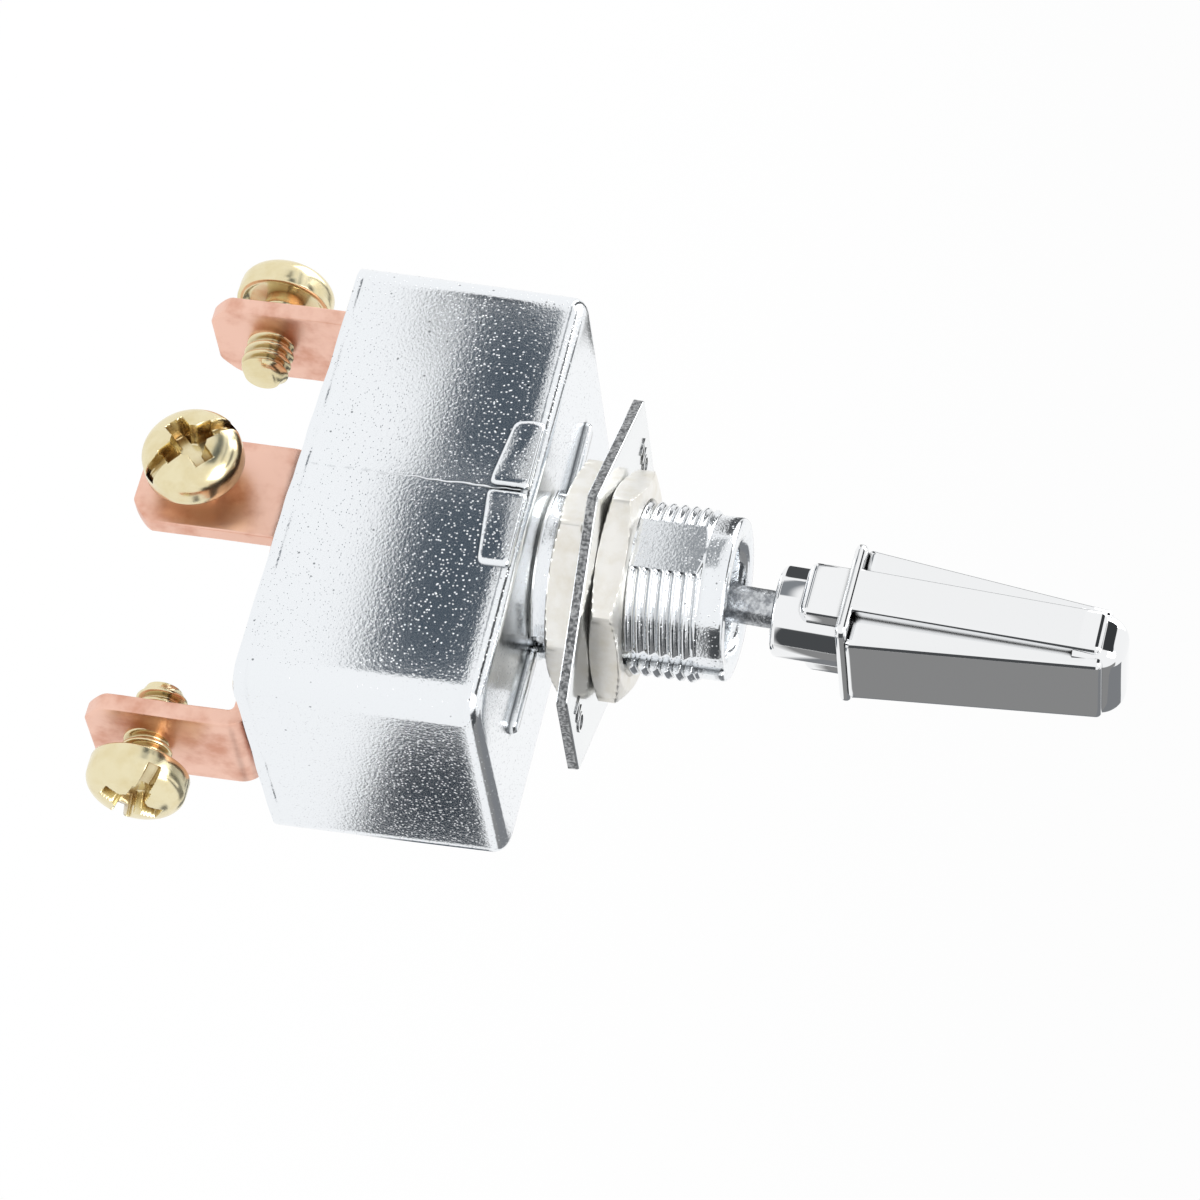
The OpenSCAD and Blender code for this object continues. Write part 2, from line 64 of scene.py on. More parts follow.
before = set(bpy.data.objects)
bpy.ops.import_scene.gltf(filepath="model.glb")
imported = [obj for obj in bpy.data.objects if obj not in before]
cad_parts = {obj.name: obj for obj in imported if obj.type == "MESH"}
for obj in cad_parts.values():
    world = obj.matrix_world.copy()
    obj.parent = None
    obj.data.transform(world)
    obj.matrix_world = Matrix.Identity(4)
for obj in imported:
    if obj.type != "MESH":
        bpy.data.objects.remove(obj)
cad_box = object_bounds()

MM = 0.001
TURN = 2 * math.pi


def linear(code):
    """Linear colour of an sRGB hex code."""
    srgb = np.array([int(code[i : i + 2], 16) for i in (0, 2, 4)]) / 255
    curved = ((srgb + 0.055) / 1.055) ** 2.4
    return (*np.where(srgb <= 0.04045, srgb / 12.92, curved).tolist(), 1.0)


def size(name, value, text):
    """Length property in metres, from a value in millimetres."""
    return FloatProperty(
        name=name, description=text, default=value * MM, unit="LENGTH", precision=5
    )


def angle(name, degrees, text):
    """Angle property, from a value in degrees."""
    return FloatProperty(
        name=name, description=text, default=math.radians(degrees), subtype="ANGLE"
    )


def colour(name, code, text):
    """Colour property, from an sRGB hex code."""
    return FloatVectorProperty(
        name=name, description=text, default=linear(code), size=4, subtype="COLOR", min=0, max=1
    )


# ---- sizes and colours


class HousingSizes(PropertyGroup):
    """Box and threaded bushing, cast as one piece."""

    length: size("Length", 35, "Length of the housing along X")
    width: size("Width", 20.2, "Width of the housing along Y, at its back")
    depth: size("Depth", 16.1, "Depth of the housing behind its front face")
    corner: size("Corner radius", 2.0, "Radius of the upright corners")
    front_edge: size("Front edge radius", 1.0, "Radius round the edge of the front face")
    draft: size("Draft", 0.2, "Draft taken off each side at the front")
    die_draft: size("Die draft", 0.15, "Draft of the long faces from the parting line to the ends")
    crest: size("Thread crest radius", 5.95, "Crest radius of the bushing thread")
    root: size("Thread root radius", 5.7, "Root radius of the bushing thread")
    pitch: size("Thread pitch", 0.794, "Pitch of the bushing thread")
    bushing: size("Bushing height", 13.2, "Height of the bushing above the front face")
    thread_end: size("Thread end", 11.3, "Height at which the thread ends")
    plain: size("Plain end radius", 5.6, "Radius of the plain end")
    bore: size("Bore radius", 3.9, "Radius of the bore round the lever's ball")


class NutSizes(PropertyGroup):
    """Hexagon nuts and indicator plate."""

    across: size("Across flats", 14.3, "Width of both nuts across their flats")
    rear_z: size("Rear nut height", 1.4, "Where the rear nut starts")
    rear_t: size("Rear nut thickness", 2.3, "Thickness of the rear nut")
    rear_turn: angle("Rear nut turn", 37, "Turn of a corner of the rear nut from +X")
    front_t: size("Front nut thickness", 2.05, "Thickness of the front nut")
    front_turn: angle("Front nut turn", 19, "Turn of a corner of the front nut from +X")
    plate_l: size("Plate length", 25, "Length of the indicator plate along X")
    plate_w: size("Plate width", 21, "Width of the plate over its two side points")
    plate_end: size("Plate end", 8.4, "Length of the plate's two straight ends")
    plate_t: size("Plate thickness", 0.75, "Thickness of the plate")


class TerminalSizes(PropertyGroup):
    """Copper strips and their screws."""

    width: size("Strip width", 7.4, "Width of the strips")
    thickness: size("Strip thickness", 1.25, "Thickness of the strips")
    foot: size("Foot length", 9.1, "Length of the foot under the base")
    seat_z: size("Seat height", -16.4, "Back of the base, which the feet lie on")
    end_z: size("Strip end", -28, "Height of the strips' free ends")
    outer: size("Outer strips", 17.3, "Outer face of the left and right strips, from the axis")
    middle: size("Middle strip", 6.1, "Outer face of the middle strip, from the axis")
    screw_z: size("Screw height", -23.8, "Height of the screws")
    screw_r: size("Screw radius", 1.753, "Crest radius of the screw thread")
    gap: size("Gap", 2.1, "Gap under each screw head")
    tip: size("Screw tip", 2.8, "Length of screw that shows beyond the strip")
    head_r: size("Head radius", 3.45, "Radius of the screw heads")
    head_h: size("Head height", 2.85, "Height of the screw heads")


class LeverSizes(PropertyGroup):
    """Lever and paddle handle."""

    pivot: size("Pivot height", 5.7, "Height of the lever's cross pin")
    lean: angle("Lean", 2.2, "Lean of the lever at rest, within its play")
    ball: size("Ball radius", 3.7, "Radius of the lever's ball")
    neck: size("Neck radius", 1.3, "Radius of the lever's neck")
    arm: size("Arm radius", 2.7, "Radius of the arm below the ball")
    sleeve: size("Sleeve radius", 3.15, "Radius of the handle's sleeve")
    sleeve_z: size("Sleeve start", 16.1, "Height at which the sleeve starts")
    flange_z: size("Flange height", 20.7, "Height of the flange's lower face")
    flange_t: size("Flange thickness", 1.0, "Thickness of the flange")
    tip: size("Tip height", 39.9, "Height of the handle's tip")


class SwitchColours(PropertyGroup):
    """Base colours of the finishes."""

    zinc: colour("Zinc plate", "f0f3f6", "Bright zinc plate on the die casting")
    nickel: colour("Nickel", "f0eee9", "Warm satin nickel of the nuts")
    plate: colour("Plate", "eff1f2", "Bright zinc on the stamped plate")
    chrome: colour("Chrome", "f1f2f3", "Bright chrome of the handle")
    copper: colour("Copper", "f4c9b6", "Rolled copper of the strips")
    copper_dull: colour("Dull copper", "cd8c70", "Tarnish on the copper")
    brass: colour("Brass", "ebe0bb", "Cold-headed brass of the screws")
    steel: colour("Steel", "d3d6d9", "Turned steel")
    silver: colour("Silver", "e6e5e0", "Silver contact faces")
    phenolic: colour("Phenolic", "33221a", "Moulded phenolic base")
    fibre: colour("Fibre", "8f8574", "Vulcanised fibre liner")


class StudioSettings(PropertyGroup):
    """Camera and floor."""

    azimuth: angle("Azimuth", 32.0, "Camera's direction round the switch, from -Y towards +X")
    elevation: angle("Elevation", 10.83, "Camera's height above the plane of the front face")
    roll: angle("Roll", 97.53, "Turn of the camera about its own axis")
    distance: size("Distance", 307.76, "Distance of the camera from its target")
    target: FloatVectorProperty(
        name="Target",
        description="Point in the middle of the view",
        default=(0.66 * MM, 1.23 * MM, 3.63 * MM),
        subtype="TRANSLATION",
        unit="LENGTH",
        precision=5,
    )
    lens: FloatProperty(name="Lens", description="Focal length in mm", default=135.36)
    floor: size("Floor drop", 60, "Drop from the lowest point of the switch to the floor")


class Millimetres:
    """Sizes of a property group, its lengths in millimetres and its angles as they are."""

    def __init__(self, group):
        for key, prop in group.bl_rna.properties.items():
            if prop.type == "FLOAT":
                scale = 1 / MM if prop.unit == "LENGTH" else 1
                setattr(self, key, getattr(group, key) * scale)


# ---- meshes


def grid_faces(index):
    """Quads between the neighbours in a grid of point numbers."""
    corners = [index[:-1, :-1], index[1:, :-1], index[1:, 1:], index[:-1, 1:]]
    return np.stack(corners, axis=-1).reshape(-1, 4)


def facing_out(points, faces):
    """Faces of a closed shell so that they point outwards. They are turned over where the
    signed volume, summed over a fan of triangles in each face, is negative."""
    total = 0.0
    for block in faces:
        first = points[block[:, 0]]
        for i in range(1, block.shape[1] - 1):
            cross = np.cross(points[block[:, i]], points[block[:, i + 1]])
            total += float(np.einsum("ij,ij->", first, cross))
    return faces if total > 0 else [block[:, ::-1] for block in faces]


def shell(grid, wrap=False):
    """Closed shell from a grid of points, rows by columns. Columns close on themselves. Rows
    close too where wrap is true, and otherwise a flat polygon closes each end."""
    rows, columns, _ = grid.shape
    index = np.arange(rows * columns).reshape(rows, columns)
    closed = np.hstack([index, index[:, :1]])
    if wrap:
        faces = [grid_faces(np.vstack([closed, closed[:1]]).T)]
    else:
        faces = [grid_faces(closed.T), index[:1, ::-1], index[-1:]]
    points = grid.reshape(-1, 3)
    return points, facing_out(points, faces)


def rim_of(square):
    """Values of a square grid along its edge, walked round once."""
    return np.concatenate([square[0, :-1], square[:-1, -1], square[-1, :0:-1], square[:0:-1, 0]])


def capped_disc(disc, rings):
    """Closed shell of a square grid of points and the rings that carry on from its edge. The
    grid's edge has as many points as each ring."""
    side = disc.shape[0]
    index = np.arange(side * side).reshape(side, side)
    rows, count, _ = rings.shape
    below = side * side + np.arange(rows * count).reshape(rows, count)
    loops = np.vstack([rim_of(index), below])
    walls = grid_faces(np.hstack([loops, loops[:, :1]]).T)
    points = np.vstack([disc.reshape(-1, 3), rings.reshape(-1, 3)])
    return points, facing_out(points, [grid_faces(index), walls, loops[-1:]])


def in_scene(name, data):
    """New object in the scene that shows this data."""
    made = bpy.data.objects.new(name, data)
    bpy.context.scene.collection.objects.link(made)
    return made


def piece(name, shells, look, body, replaced, sharp):
    """Makes one object of closed shells, sharp where faces meet at more than `sharp` degrees.
    It rides on body, or on nothing where body is None."""
    mesh = bpy.data.meshes.new(name)
    faces = []
    start = 0
    for points, blocks in shells:
        for block in blocks:
            faces += (block + start).tolist()
        start += len(points)
    placed_points = np.vstack([points for points, _ in shells]) * MM
    mesh.from_pydata(placed_points.tolist(), [], faces)
    mesh.update()
    mesh.shade_smooth()
    mesh.set_sharp_from_angle(angle=math.radians(sharp))
    mesh.materials.append(finish(look))
    made = in_scene(name, mesh)
    if body:
        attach(made, body)
    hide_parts(replaced)
    return made


# ---- shape functions


def ring(x, y, z):
    """Points of one row, from x and y over the columns and one height or one per column."""
    return np.stack([x, y, np.broadcast_to(z, np.shape(x))], axis=-1)


def around(turn, radius, z):
    """Points of one row, from the radius in each direction."""
    return ring(radius * np.cos(turn), radius * np.sin(turn), z)


def quarter(radius, degrees):
    """Pairs along a quarter circle that starts upright: how far it has drawn in, and risen."""
    turn = np.radians(degrees)
    return np.column_stack([radius * (1 - np.cos(turn)), radius * np.sin(turn)])


def round_rect_reach(turn, half_x, half_y, corner):
    """Distance from the centre to a rectangle with round corners, in each direction: to the
    nearer straight side, or to the corner's circle where the ray runs into it."""
    c = np.abs(np.cos(turn))
    s = np.abs(np.sin(turn))
    cx = half_x - corner
    cy = half_y - corner
    along = cx * c + cy * s
    inside = np.maximum(along**2 - cx**2 - cy**2 + corner**2, 0)
    reach = np.minimum(half_x / np.maximum(c, 1e-9), half_y / np.maximum(s, 1e-9))
    at_corner = (reach * c > cx) & (reach * s > cy)
    return np.where(at_corner, along + np.sqrt(inside), reach)


def round_rect(half_x, half_y, corner, per_corner=10, per_side=4):
    """X and Y of a rectangle with round corners, in order: four quarter circles with the
    straight sides between them cut evenly."""
    share = (np.arange(1, per_side) / per_side)[:, None]
    arcs = []
    for k, signs in enumerate(((1, 1), (-1, 1), (-1, -1), (1, -1))):
        turn = np.linspace(0, math.pi / 2, per_corner) + k * math.pi / 2
        centre = np.array(signs) * (half_x - corner, half_y - corner)
        arcs.append(centre + corner * np.column_stack([np.cos(turn), np.sin(turn)]))
    points = []
    for here, after in zip(arcs, arcs[1:] + arcs[:1]):
        points += [here, here[-1] + (after[0] - here[-1]) * share]
    return np.concatenate(points).T


def soft_min(a, b, width):
    """The smaller of two values, with the corner between them rounded over a width."""
    near = np.maximum(width - np.abs(a - b), 0) / width
    return np.minimum(a, b) - near**2 * width / 4


def smooth_step(value, low, high):
    """0 below low, 1 above high, and 3t^2 - 2t^3 between."""
    t = np.clip((value - low) / (high - low), 0, 1)
    return t * t * (3 - 2 * t)


def thread(turn, z, crest, root, pitch):
    """Radius of a right-hand thread: a worn V groove with rounded crest and root, whose phase
    goes up one pitch for each turn."""
    phase = (z / pitch - turn / TURN) % 1
    groove = smooth_step(np.abs(2 * phase - 1), 0.1, 0.95)
    return crest - (crest - root) * groove


def turned(profile, wrap=False):
    """Shell of a profile of (radius, height) pairs, turned about Z."""
    turn = np.arange(96) * TURN / 96
    return shell(np.array([around(turn, radius, z) for radius, z in profile]), wrap)


def arc(cx, cz, radius, start, end, count):
    """Points (radius, height) of a circle's arc, from start to end in degrees."""
    turn = np.radians(np.linspace(start, end, count))
    return np.column_stack([cx + radius * np.cos(turn), cz + radius * np.sin(turn)])


def loft(levels, per_corner=10, per_side=6):
    """Rows of round-cornered rectangles, one for each (z, half x, half y, corner)."""
    return np.array(
        [
            ring(*round_rect(half_x, half_y, corner, per_corner, per_side), z)
            for z, half_x, half_y, corner in levels
        ]
    )


def leaned(points, sizes):
    """Points turned about the Y axis through the pivot, as the lever leans at rest."""
    c = math.cos(sizes.lean)
    s = math.sin(sizes.lean)
    x = points[..., 0]
    z = points[..., 2] - sizes.pivot
    return np.stack([c * x + s * z, points[..., 1], sizes.pivot - s * x + c * z], axis=-1)


def placed(points, sizes, turn, reach):
    """Points of a terminal, drawn with its outward direction along X and its seat at 0, moved
    out by the reach of that name and turned about Z to where it belongs."""
    c = math.cos(turn)
    s = math.sin(turn)
    x = points[..., 0] + getattr(sizes, reach)
    y = points[..., 1]
    return np.stack([c * x - s * y, s * x + c * y, points[..., 2] + sizes.seat_z], axis=-1)


# ---- materials

NOISE = "ShaderNodeTexNoise"
CELLS = "ShaderNodeTexVoronoi"
RANGE = "ShaderNodeMapRange"
MIX = "ShaderNodeMix"
BUMP = "ShaderNodeBump"
MATH = "ShaderNodeMath"
MAPPING = "ShaderNodeMapping"
OCCLUSION = "ShaderNodeAmbientOcclusion"
COORDINATES = "ShaderNodeTexCoord"
EMISSION = "ShaderNodeEmission"


def add_node(tree, kind, settings=None, links=None, to=None):
    """Adds a node, sets its options and free sockets by name, and links its sockets. A link
    comes from a socket or from the first output in use of a node, and `to` is the socket that
    takes the new node's own."""
    made = tree.nodes.new(kind)
    for key, value in (settings or {}).items():
        if isinstance(key, str) and hasattr(made, key):
            setattr(made, key, value)
        else:
            made.inputs[key].default_value = value
    wanted = [(source, made.inputs[key]) for key, source in (links or {}).items()]
    for source, socket in wanted + ([(made, to)] if to else []):
        if isinstance(source, bpy.types.Node):
            source = next(output for output in source.outputs if output.enabled)
        tree.links.new(source, socket)
    return made


def stain_and_shade(tree, shader, pattern, span, shares, tone, smooth=False):
    """Lays a tone over the base colour: a stain, or painted shade where the pattern is ambient
    occlusion. Its share goes from the first to the second of shares while the pattern's value
    crosses the span, in a straight line or smoothly."""
    base = shader.inputs["Base Color"]
    ramp = {"From Min": span[0], "From Max": span[1], "To Min": shares[0], "To Max": shares[1]}
    ramp["interpolation_type"] = "SMOOTHSTEP" if smooth else "LINEAR"
    share = add_node(tree, RANGE, ramp, {"Value": pattern})
    below = {6: base.links[0].from_socket} if base.is_linked else {}
    tones = {"data_type": "RGBA", 6: tuple(base.default_value), 7: tone}
    add_node(tree, MIX, tones, {0: share, **below}, to=base)


def per_mm(millimetres):
    """Texture scale at which one cell of a pattern is this wide."""
    return 1 / (millimetres * MM)


def zinc_casting(tree, shader, coords):
    """Bright zinc plate on a die casting. The skin of the die leaves a pebble in each cell of
    0.26 mm, and the plate shines, so each pebble carries its own small reflection. A fine grain
    lies between them, a few pits show dark, and painted shade from ambient occlusion darkens the
    foot of each rib and seam."""
    cells = add_node(tree, CELLS, {"Scale": per_mm(0.26)}, {"Vector": coords})
    domed = {"From Min": 0.04, "From Max": 0.28, "To Min": 1.0, "To Max": 0.0}
    domed["interpolation_type"] = "SMOOTHSTEP"
    dome = add_node(tree, RANGE, domed, {"Value": cells})
    product = {"operation": "MULTIPLY"}
    pebble = add_node(tree, MATH, product, {0: dome, 1: cells.outputs["Color"]})
    grain = add_node(tree, NOISE, {"Scale": per_mm(0.2), "Detail": 2.0}, {"Vector": coords})
    skin = add_node(tree, BUMP, {"Distance": 0.009 * MM}, {"Height": grain})
    relief = {"Height": pebble, "Normal": skin}
    add_node(tree, BUMP, {"Distance": 0.028 * MM}, relief, to=shader.inputs["Normal"])
    pits = add_node(tree, CELLS, {"Scale": per_mm(1.25)}, {"Vector": coords})
    pitted = {"From Min": 0.045, "From Max": 0.08, "To Min": 0.75, "To Max": 0.0}
    speck = add_node(tree, RANGE, pitted, {"Value": pits})
    # painted shade: ambient occlusion darkens the feet of the ribs, pads, seam and stakes
    open_sky = add_node(tree, OCCLUSION, {"only_local": True, "samples": 8, "Distance": 0.4 * MM})
    feet_shade_ramp = {"From Min": 0.5, "From Max": 0.94, "To Min": 0.9, "To Max": 0.0}
    foot = add_node(tree, RANGE, feet_shade_ramp, {"Value": open_sky.outputs["AO"]})
    # dark carries the real pits and the painted shade together, both laid in tone 4d5358
    dark = add_node(tree, MATH, {"operation": "MAXIMUM"}, {0: speck, 1: foot})
    stain_and_shade(tree, shader, dark, (0.0, 1.0), (0.0, 1.0), linear("4d5358"))


def satin_nickel(tree, shader, coords):
    """Satin nickel plate on machined brass nuts: faint cutter marks 0.15 mm apart, warm
    mottling of about a millimetre, and small handling dents."""
    mottled = {"Scale": per_mm(1.3), "Detail": 4.0, "Roughness": 0.6}
    mottle = add_node(tree, NOISE, mottled, {"Vector": coords})
    stain_and_shade(tree, shader, mottle, (0.4, 0.75), (0.0, 0.6), linear("dcd5c4"))
    cutter = {"bands_direction": "Z", "Scale": per_mm(0.15) / 20, "Distortion": 1.5, "Detail": 2.0}
    marks = add_node(tree, "ShaderNodeTexWave", cutter, {"Vector": coords})
    cut = add_node(tree, BUMP, {"Distance": 0.0012 * MM}, {"Height": marks.outputs["Fac"]})
    dents = add_node(tree, NOISE, {"Scale": per_mm(0.5), "Detail": 3.0}, {"Vector": coords})
    relief = {"Height": dents, "Normal": cut}
    add_node(tree, BUMP, {"Distance": 0.006 * MM}, relief, to=shader.inputs["Normal"])


def plated_sheet(tree, shader, coords):
    """Bright zinc on stamped sheet: rolling scratches along X on its faces. Its sheared edges,
    where the object normal lies flat, are rougher and darker."""
    facing = add_node(tree, COORDINATES).outputs["Normal"]
    parts = add_node(tree, "ShaderNodeSeparateXYZ", links={0: facing})
    upright = add_node(tree, MATH, {"operation": "ABSOLUTE"}, {0: parts.outputs["Z"]})
    sheared = {"From Min": 0.2, "From Max": 0.75, "To Min": 1.0, "To Max": 0.0}
    edge = add_node(tree, RANGE, sheared, {"Value": upright})
    specks = add_node(tree, NOISE, {"Scale": per_mm(0.22), "Detail": 2.0}, {"Vector": coords})
    uneven = {"From Min": 0.35, "From Max": 0.6, "To Min": 0.5, "To Max": 0.9}
    rough = add_node(tree, RANGE, uneven, {"Value": specks})
    torn = add_node(tree, MATH, {"operation": "MULTIPLY"}, {0: edge, 1: rough})
    stain_and_shade(tree, shader, torn, (0.0, 1.0), (0.0, 1.0), linear("34363a"))
    dull = {"To Min": 0.16, "To Max": 0.3}
    add_node(tree, RANGE, dull, {"Value": edge}, to=shader.inputs["Roughness"])
    rolled = add_node(tree, MAPPING, {"Scale": (0.08, 1.0, 1.0)}, {"Vector": coords})
    lines = add_node(tree, NOISE, {"Scale": per_mm(0.3), "Detail": 3.0}, {"Vector": rolled})
    add_node(tree, BUMP, {"Distance": 0.003 * MM}, {"Height": lines}, to=shader.inputs["Normal"])


def bright_chrome(tree, shader, coords):
    """Bright chrome on a polished zinc casting: a mirror with the faint waves that polishing
    leaves. Its inner corners are darkened by painted shade from ambient occlusion."""
    # painted shade: ambient occlusion lays near-black 141414 into the inner corners
    shelter = {"only_local": True, "samples": 12, "Distance": 0.7 * MM}
    open_sky = add_node(tree, OCCLUSION, shelter).outputs["AO"]
    stain_and_shade(tree, shader, open_sky, (0.45, 0.74), (0.92, 0.0), linear("141414"), smooth=True)
    waves = add_node(tree, NOISE, {"Scale": per_mm(5.0), "Detail": 1.0}, {"Vector": coords})
    add_node(tree, BUMP, {"Distance": 0.02 * MM}, {"Height": waves}, to=shader.inputs["Normal"])


def rolled_copper(tree, shader, coords):
    """Rolled copper strip, blanked and bent: satin, with rolling lines along it, patches of
    tarnish a few millimetres wide and small dents."""
    patched = {"Scale": per_mm(3.5), "Detail": 4.0, "Roughness": 0.6}
    patches = add_node(tree, NOISE, patched, {"Vector": coords})
    tarnish = tuple(bpy.context.scene.switch_colours.copper_dull)
    stain_and_shade(tree, shader, patches, (0.42, 0.7), (0.0, 0.8), tarnish, smooth=True)
    rolled = add_node(tree, MAPPING, {"Scale": (1.0, 1.0, 0.12)}, {"Vector": coords})
    lines = add_node(tree, NOISE, {"Scale": per_mm(0.22), "Detail": 2.0}, {"Vector": rolled})
    drawn = add_node(tree, BUMP, {"Distance": 0.003 * MM}, {"Height": lines})
    dents = add_node(tree, NOISE, {"Scale": per_mm(0.9), "Detail": 3.0}, {"Vector": coords})
    relief = {"Height": dents, "Normal": drawn}
    add_node(tree, BUMP, {"Distance": 0.016 * MM}, relief, to=shader.inputs["Normal"])


def headed_brass(tree, shader, coords):
    """Cold-headed brass screw, tumbled bright: smooth, slightly dented by the tumbling, with a
    warmer film in patches. Painted shade from ambient occlusion darkens the recess and the
    thread to brown."""
    filmed = {"Scale": per_mm(1.6), "Detail": 4.0, "Roughness": 0.6}
    film = add_node(tree, NOISE, filmed, {"Vector": coords})
    stain_and_shade(tree, shader, film, (0.4, 0.8), (0.0, 0.6), linear("d8c48c"))
    # painted shade: ambient occlusion lays brown 8f6a35 into the recess and the thread
    open_sky = add_node(tree, OCCLUSION, {"only_local": True, "samples": 8, "Distance": 1.2 * MM})
    stain_and_shade(tree, shader, open_sky.outputs["AO"], (0.3, 0.85), (0.85, 0.0), linear("8f6a35"))
    dents = add_node(tree, NOISE, {"Scale": per_mm(1.8), "Detail": 2.0}, {"Vector": coords})
    add_node(tree, BUMP, {"Distance": 0.02 * MM}, {"Height": dents}, to=shader.inputs["Normal"])


def turned_steel(tree, shader, coords):
    """Turned steel, zinc-plated: a pebbled plate with dark specks of 0.4 mm."""
    specks = add_node(tree, NOISE, {"Scale": per_mm(0.4), "Detail": 3.0}, {"Vector": coords})
    stain_and_shade(tree, shader, specks, (0.4, 0.65), (0.0, 0.8), linear("7c8086"))
    grain = add_node(tree, NOISE, {"Scale": per_mm(0.3), "Detail": 2.0}, {"Vector": coords})
    add_node(tree, BUMP, {"Distance": 0.03 * MM}, {"Height": grain}, to=shader.inputs["Normal"])


def silver_face(tree, shader, coords):
    """Silver contact button: pressed smooth, and duller in patches where the air tarnished it."""
    film = add_node(tree, NOISE, {"Scale": per_mm(0.9), "Detail": 3.0}, {"Vector": coords})
    stain_and_shade(tree, shader, film, (0.4, 0.7), (0.0, 0.5), linear("a7a49b"))
    add_node(tree, BUMP, {"Distance": 0.008 * MM}, {"Height": film}, to=shader.inputs["Normal"])


def moulded_phenolic(tree, shader, coords):
    """Compression-moulded phenolic: dark brown and dull, with its mineral filler as grain."""
    filled = {"Scale": per_mm(0.5), "Detail": 4.0, "Roughness": 0.7}
    filler = add_node(tree, NOISE, filled, {"Vector": coords})
    stain_and_shade(tree, shader, filler, (0.4, 0.7), (0.0, 0.6), linear("4d382c"))
    add_node(tree, BUMP, {"Distance": 0.02 * MM}, {"Height": filler}, to=shader.inputs["Normal"])


def fibre_sheet(tree, shader, coords):
    """Vulcanised fibre sheet: grey-brown and matt, with paper grain."""
    laid = {"Scale": per_mm(0.6), "Detail": 4.0, "Roughness": 0.7}
    paper = add_node(tree, NOISE, laid, {"Vector": coords})
    stain_and_shade(tree, shader, paper, (0.35, 0.7), (0.0, 0.6), linear("6f6556"))
    add_node(tree, BUMP, {"Distance": 0.03 * MM}, {"Height": paper}, to=shader.inputs["Normal"])


# what lays the pattern on, the material's name, metallic and roughness
FINISHES = {
    "zinc": (zinc_casting, "bright zinc plate on pebbled die casting", 1.0, 0.13),
    "nickel": (satin_nickel, "satin nickel plate on machined brass", 1.0, 0.36),
    "plate": (plated_sheet, "bright zinc plate on stamped sheet", 1.0, 0.18),
    "chrome": (bright_chrome, "bright chrome on polished zinc casting", 1.0, 0.03),
    "copper": (rolled_copper, "rolled and blanked copper strip", 1.0, 0.36),
    "brass": (headed_brass, "cold-headed and tumbled yellow brass", 1.0, 0.2),
    "steel": (turned_steel, "turned and zinc-plated steel", 1.0, 0.26),
    "silver": (silver_face, "pressed silver contact", 1.0, 0.3),
    "phenolic": (moulded_phenolic, "compression-moulded phenolic", 0.0, 0.55),
    "fibre": (fibre_sheet, "vulcanised fibre sheet", 0.0, 0.75),
}


def with_nodes(name, **sockets):
    """New material, its node tree and its Principled shader with these sockets set."""
    made = bpy.data.materials.new(name)
    made.use_nodes = True
    shader = made.node_tree.nodes["Principled BSDF"]
    for key, value in sockets.items():
        shader.inputs[key.replace("_", " ")].default_value = value
    return made, made.node_tree, shader


def finish(name):
    """The finished material of that name, made once."""
    lay_on, title, metallic, roughness = FINISHES[name]
    made = bpy.data.materials.get(title)
    if made is None:
        base = tuple(getattr(bpy.context.scene.switch_colours, name))
        made, tree, shader = with_nodes(
            title, Metallic=metallic, Roughness=roughness, Base_Color=base
        )
        lay_on(tree, shader, add_node(tree, COORDINATES).outputs["Object"])
    return made


# ---- housing

# from the bushing's axis, in mm: barrel under the nuts, flats, floor and half width of the keyway
BARREL, FLAT, KEY_FLOOR, KEY_HALF = 5.692, 5.6, 5.2, 1.0
FILLET = 0.35
# heights in mm: first thread, inside of the front wall, ledge that the base lies against
THREAD_START, WALL_BACK, LEDGE = 6.45, -2.0, -12.8


def housing_directions():
    """Directions of the housing's columns: every degree, with half degrees at the four corners
    and pairs close together at the keyway's sides."""
    corners = np.concatenate([np.arange(22.5, 37, 1.0) + k for k in (0, 180)])
    keyway = [10.15, 10.45, 349.55, 349.85]
    every = np.concatenate([np.arange(0, 360, 1.0), corners, 360 - corners, keyway])
    return np.radians(np.unique(every % 360))


def casting_row(turn, sizes, z, inset):
    """Row of the box's outside: a round-cornered rectangle that tapers by the draft, bulges by
    a slight crown half way, and narrows from the parting line to its ends."""
    taper = sizes.draft * (1 + z / sizes.depth)
    crown = 0.05 * (1 - ((z + 0.5 * sizes.depth) / (0.5 * sizes.depth)) ** 2)
    half_x = sizes.length / 2 - taper - inset
    half_y = sizes.width / 2 - taper - inset + crown
    row = around(turn, round_rect_reach(turn, half_x, half_y, sizes.corner - 0.8 * inset), z)
    row[:, 1] *= 1 - sizes.die_draft / sizes.width * 2 * np.abs(row[:, 0]) / half_x
    return row


def bushing_reach(turn, sizes, z):
    """Radius of the bushing: the thread, filled up on two flats along X, fading into the plain
    end."""
    radius = thread(turn, z, sizes.crest, sizes.root, sizes.pitch)
    flat = FLAT / np.maximum(np.abs(np.sin(turn)), 1e-6)
    radius = np.where(flat < sizes.crest, soft_min(flat, sizes.crest, 0.04), radius)
    run_out = sizes.plain + 0.1 + (sizes.thread_end - z) * 1.1
    return np.minimum(radius, max(run_out, sizes.plain))


def keyway_cut(turn, radius):
    """Radius held down to the keyway's floor, within its half width of +X."""
    in_key = (np.abs(radius * np.sin(turn)) < KEY_HALF) & (np.cos(turn) > 0)
    floor = KEY_FLOOR / np.maximum(np.cos(turn), 0.1)
    return np.where(in_key, np.minimum(radius, floor), radius)


def rim_lip(turn):
    """How far the rim's lip stands out behind the housing, in each direction: most at the
    corner between +X and -Y, with the ripple that rolling the rim over leaves."""
    return 0.14 + 0.24 * np.cos(turn + 0.42) + 0.03 * np.sin(9 * turn) + 0.02 * np.sin(23 * turn)


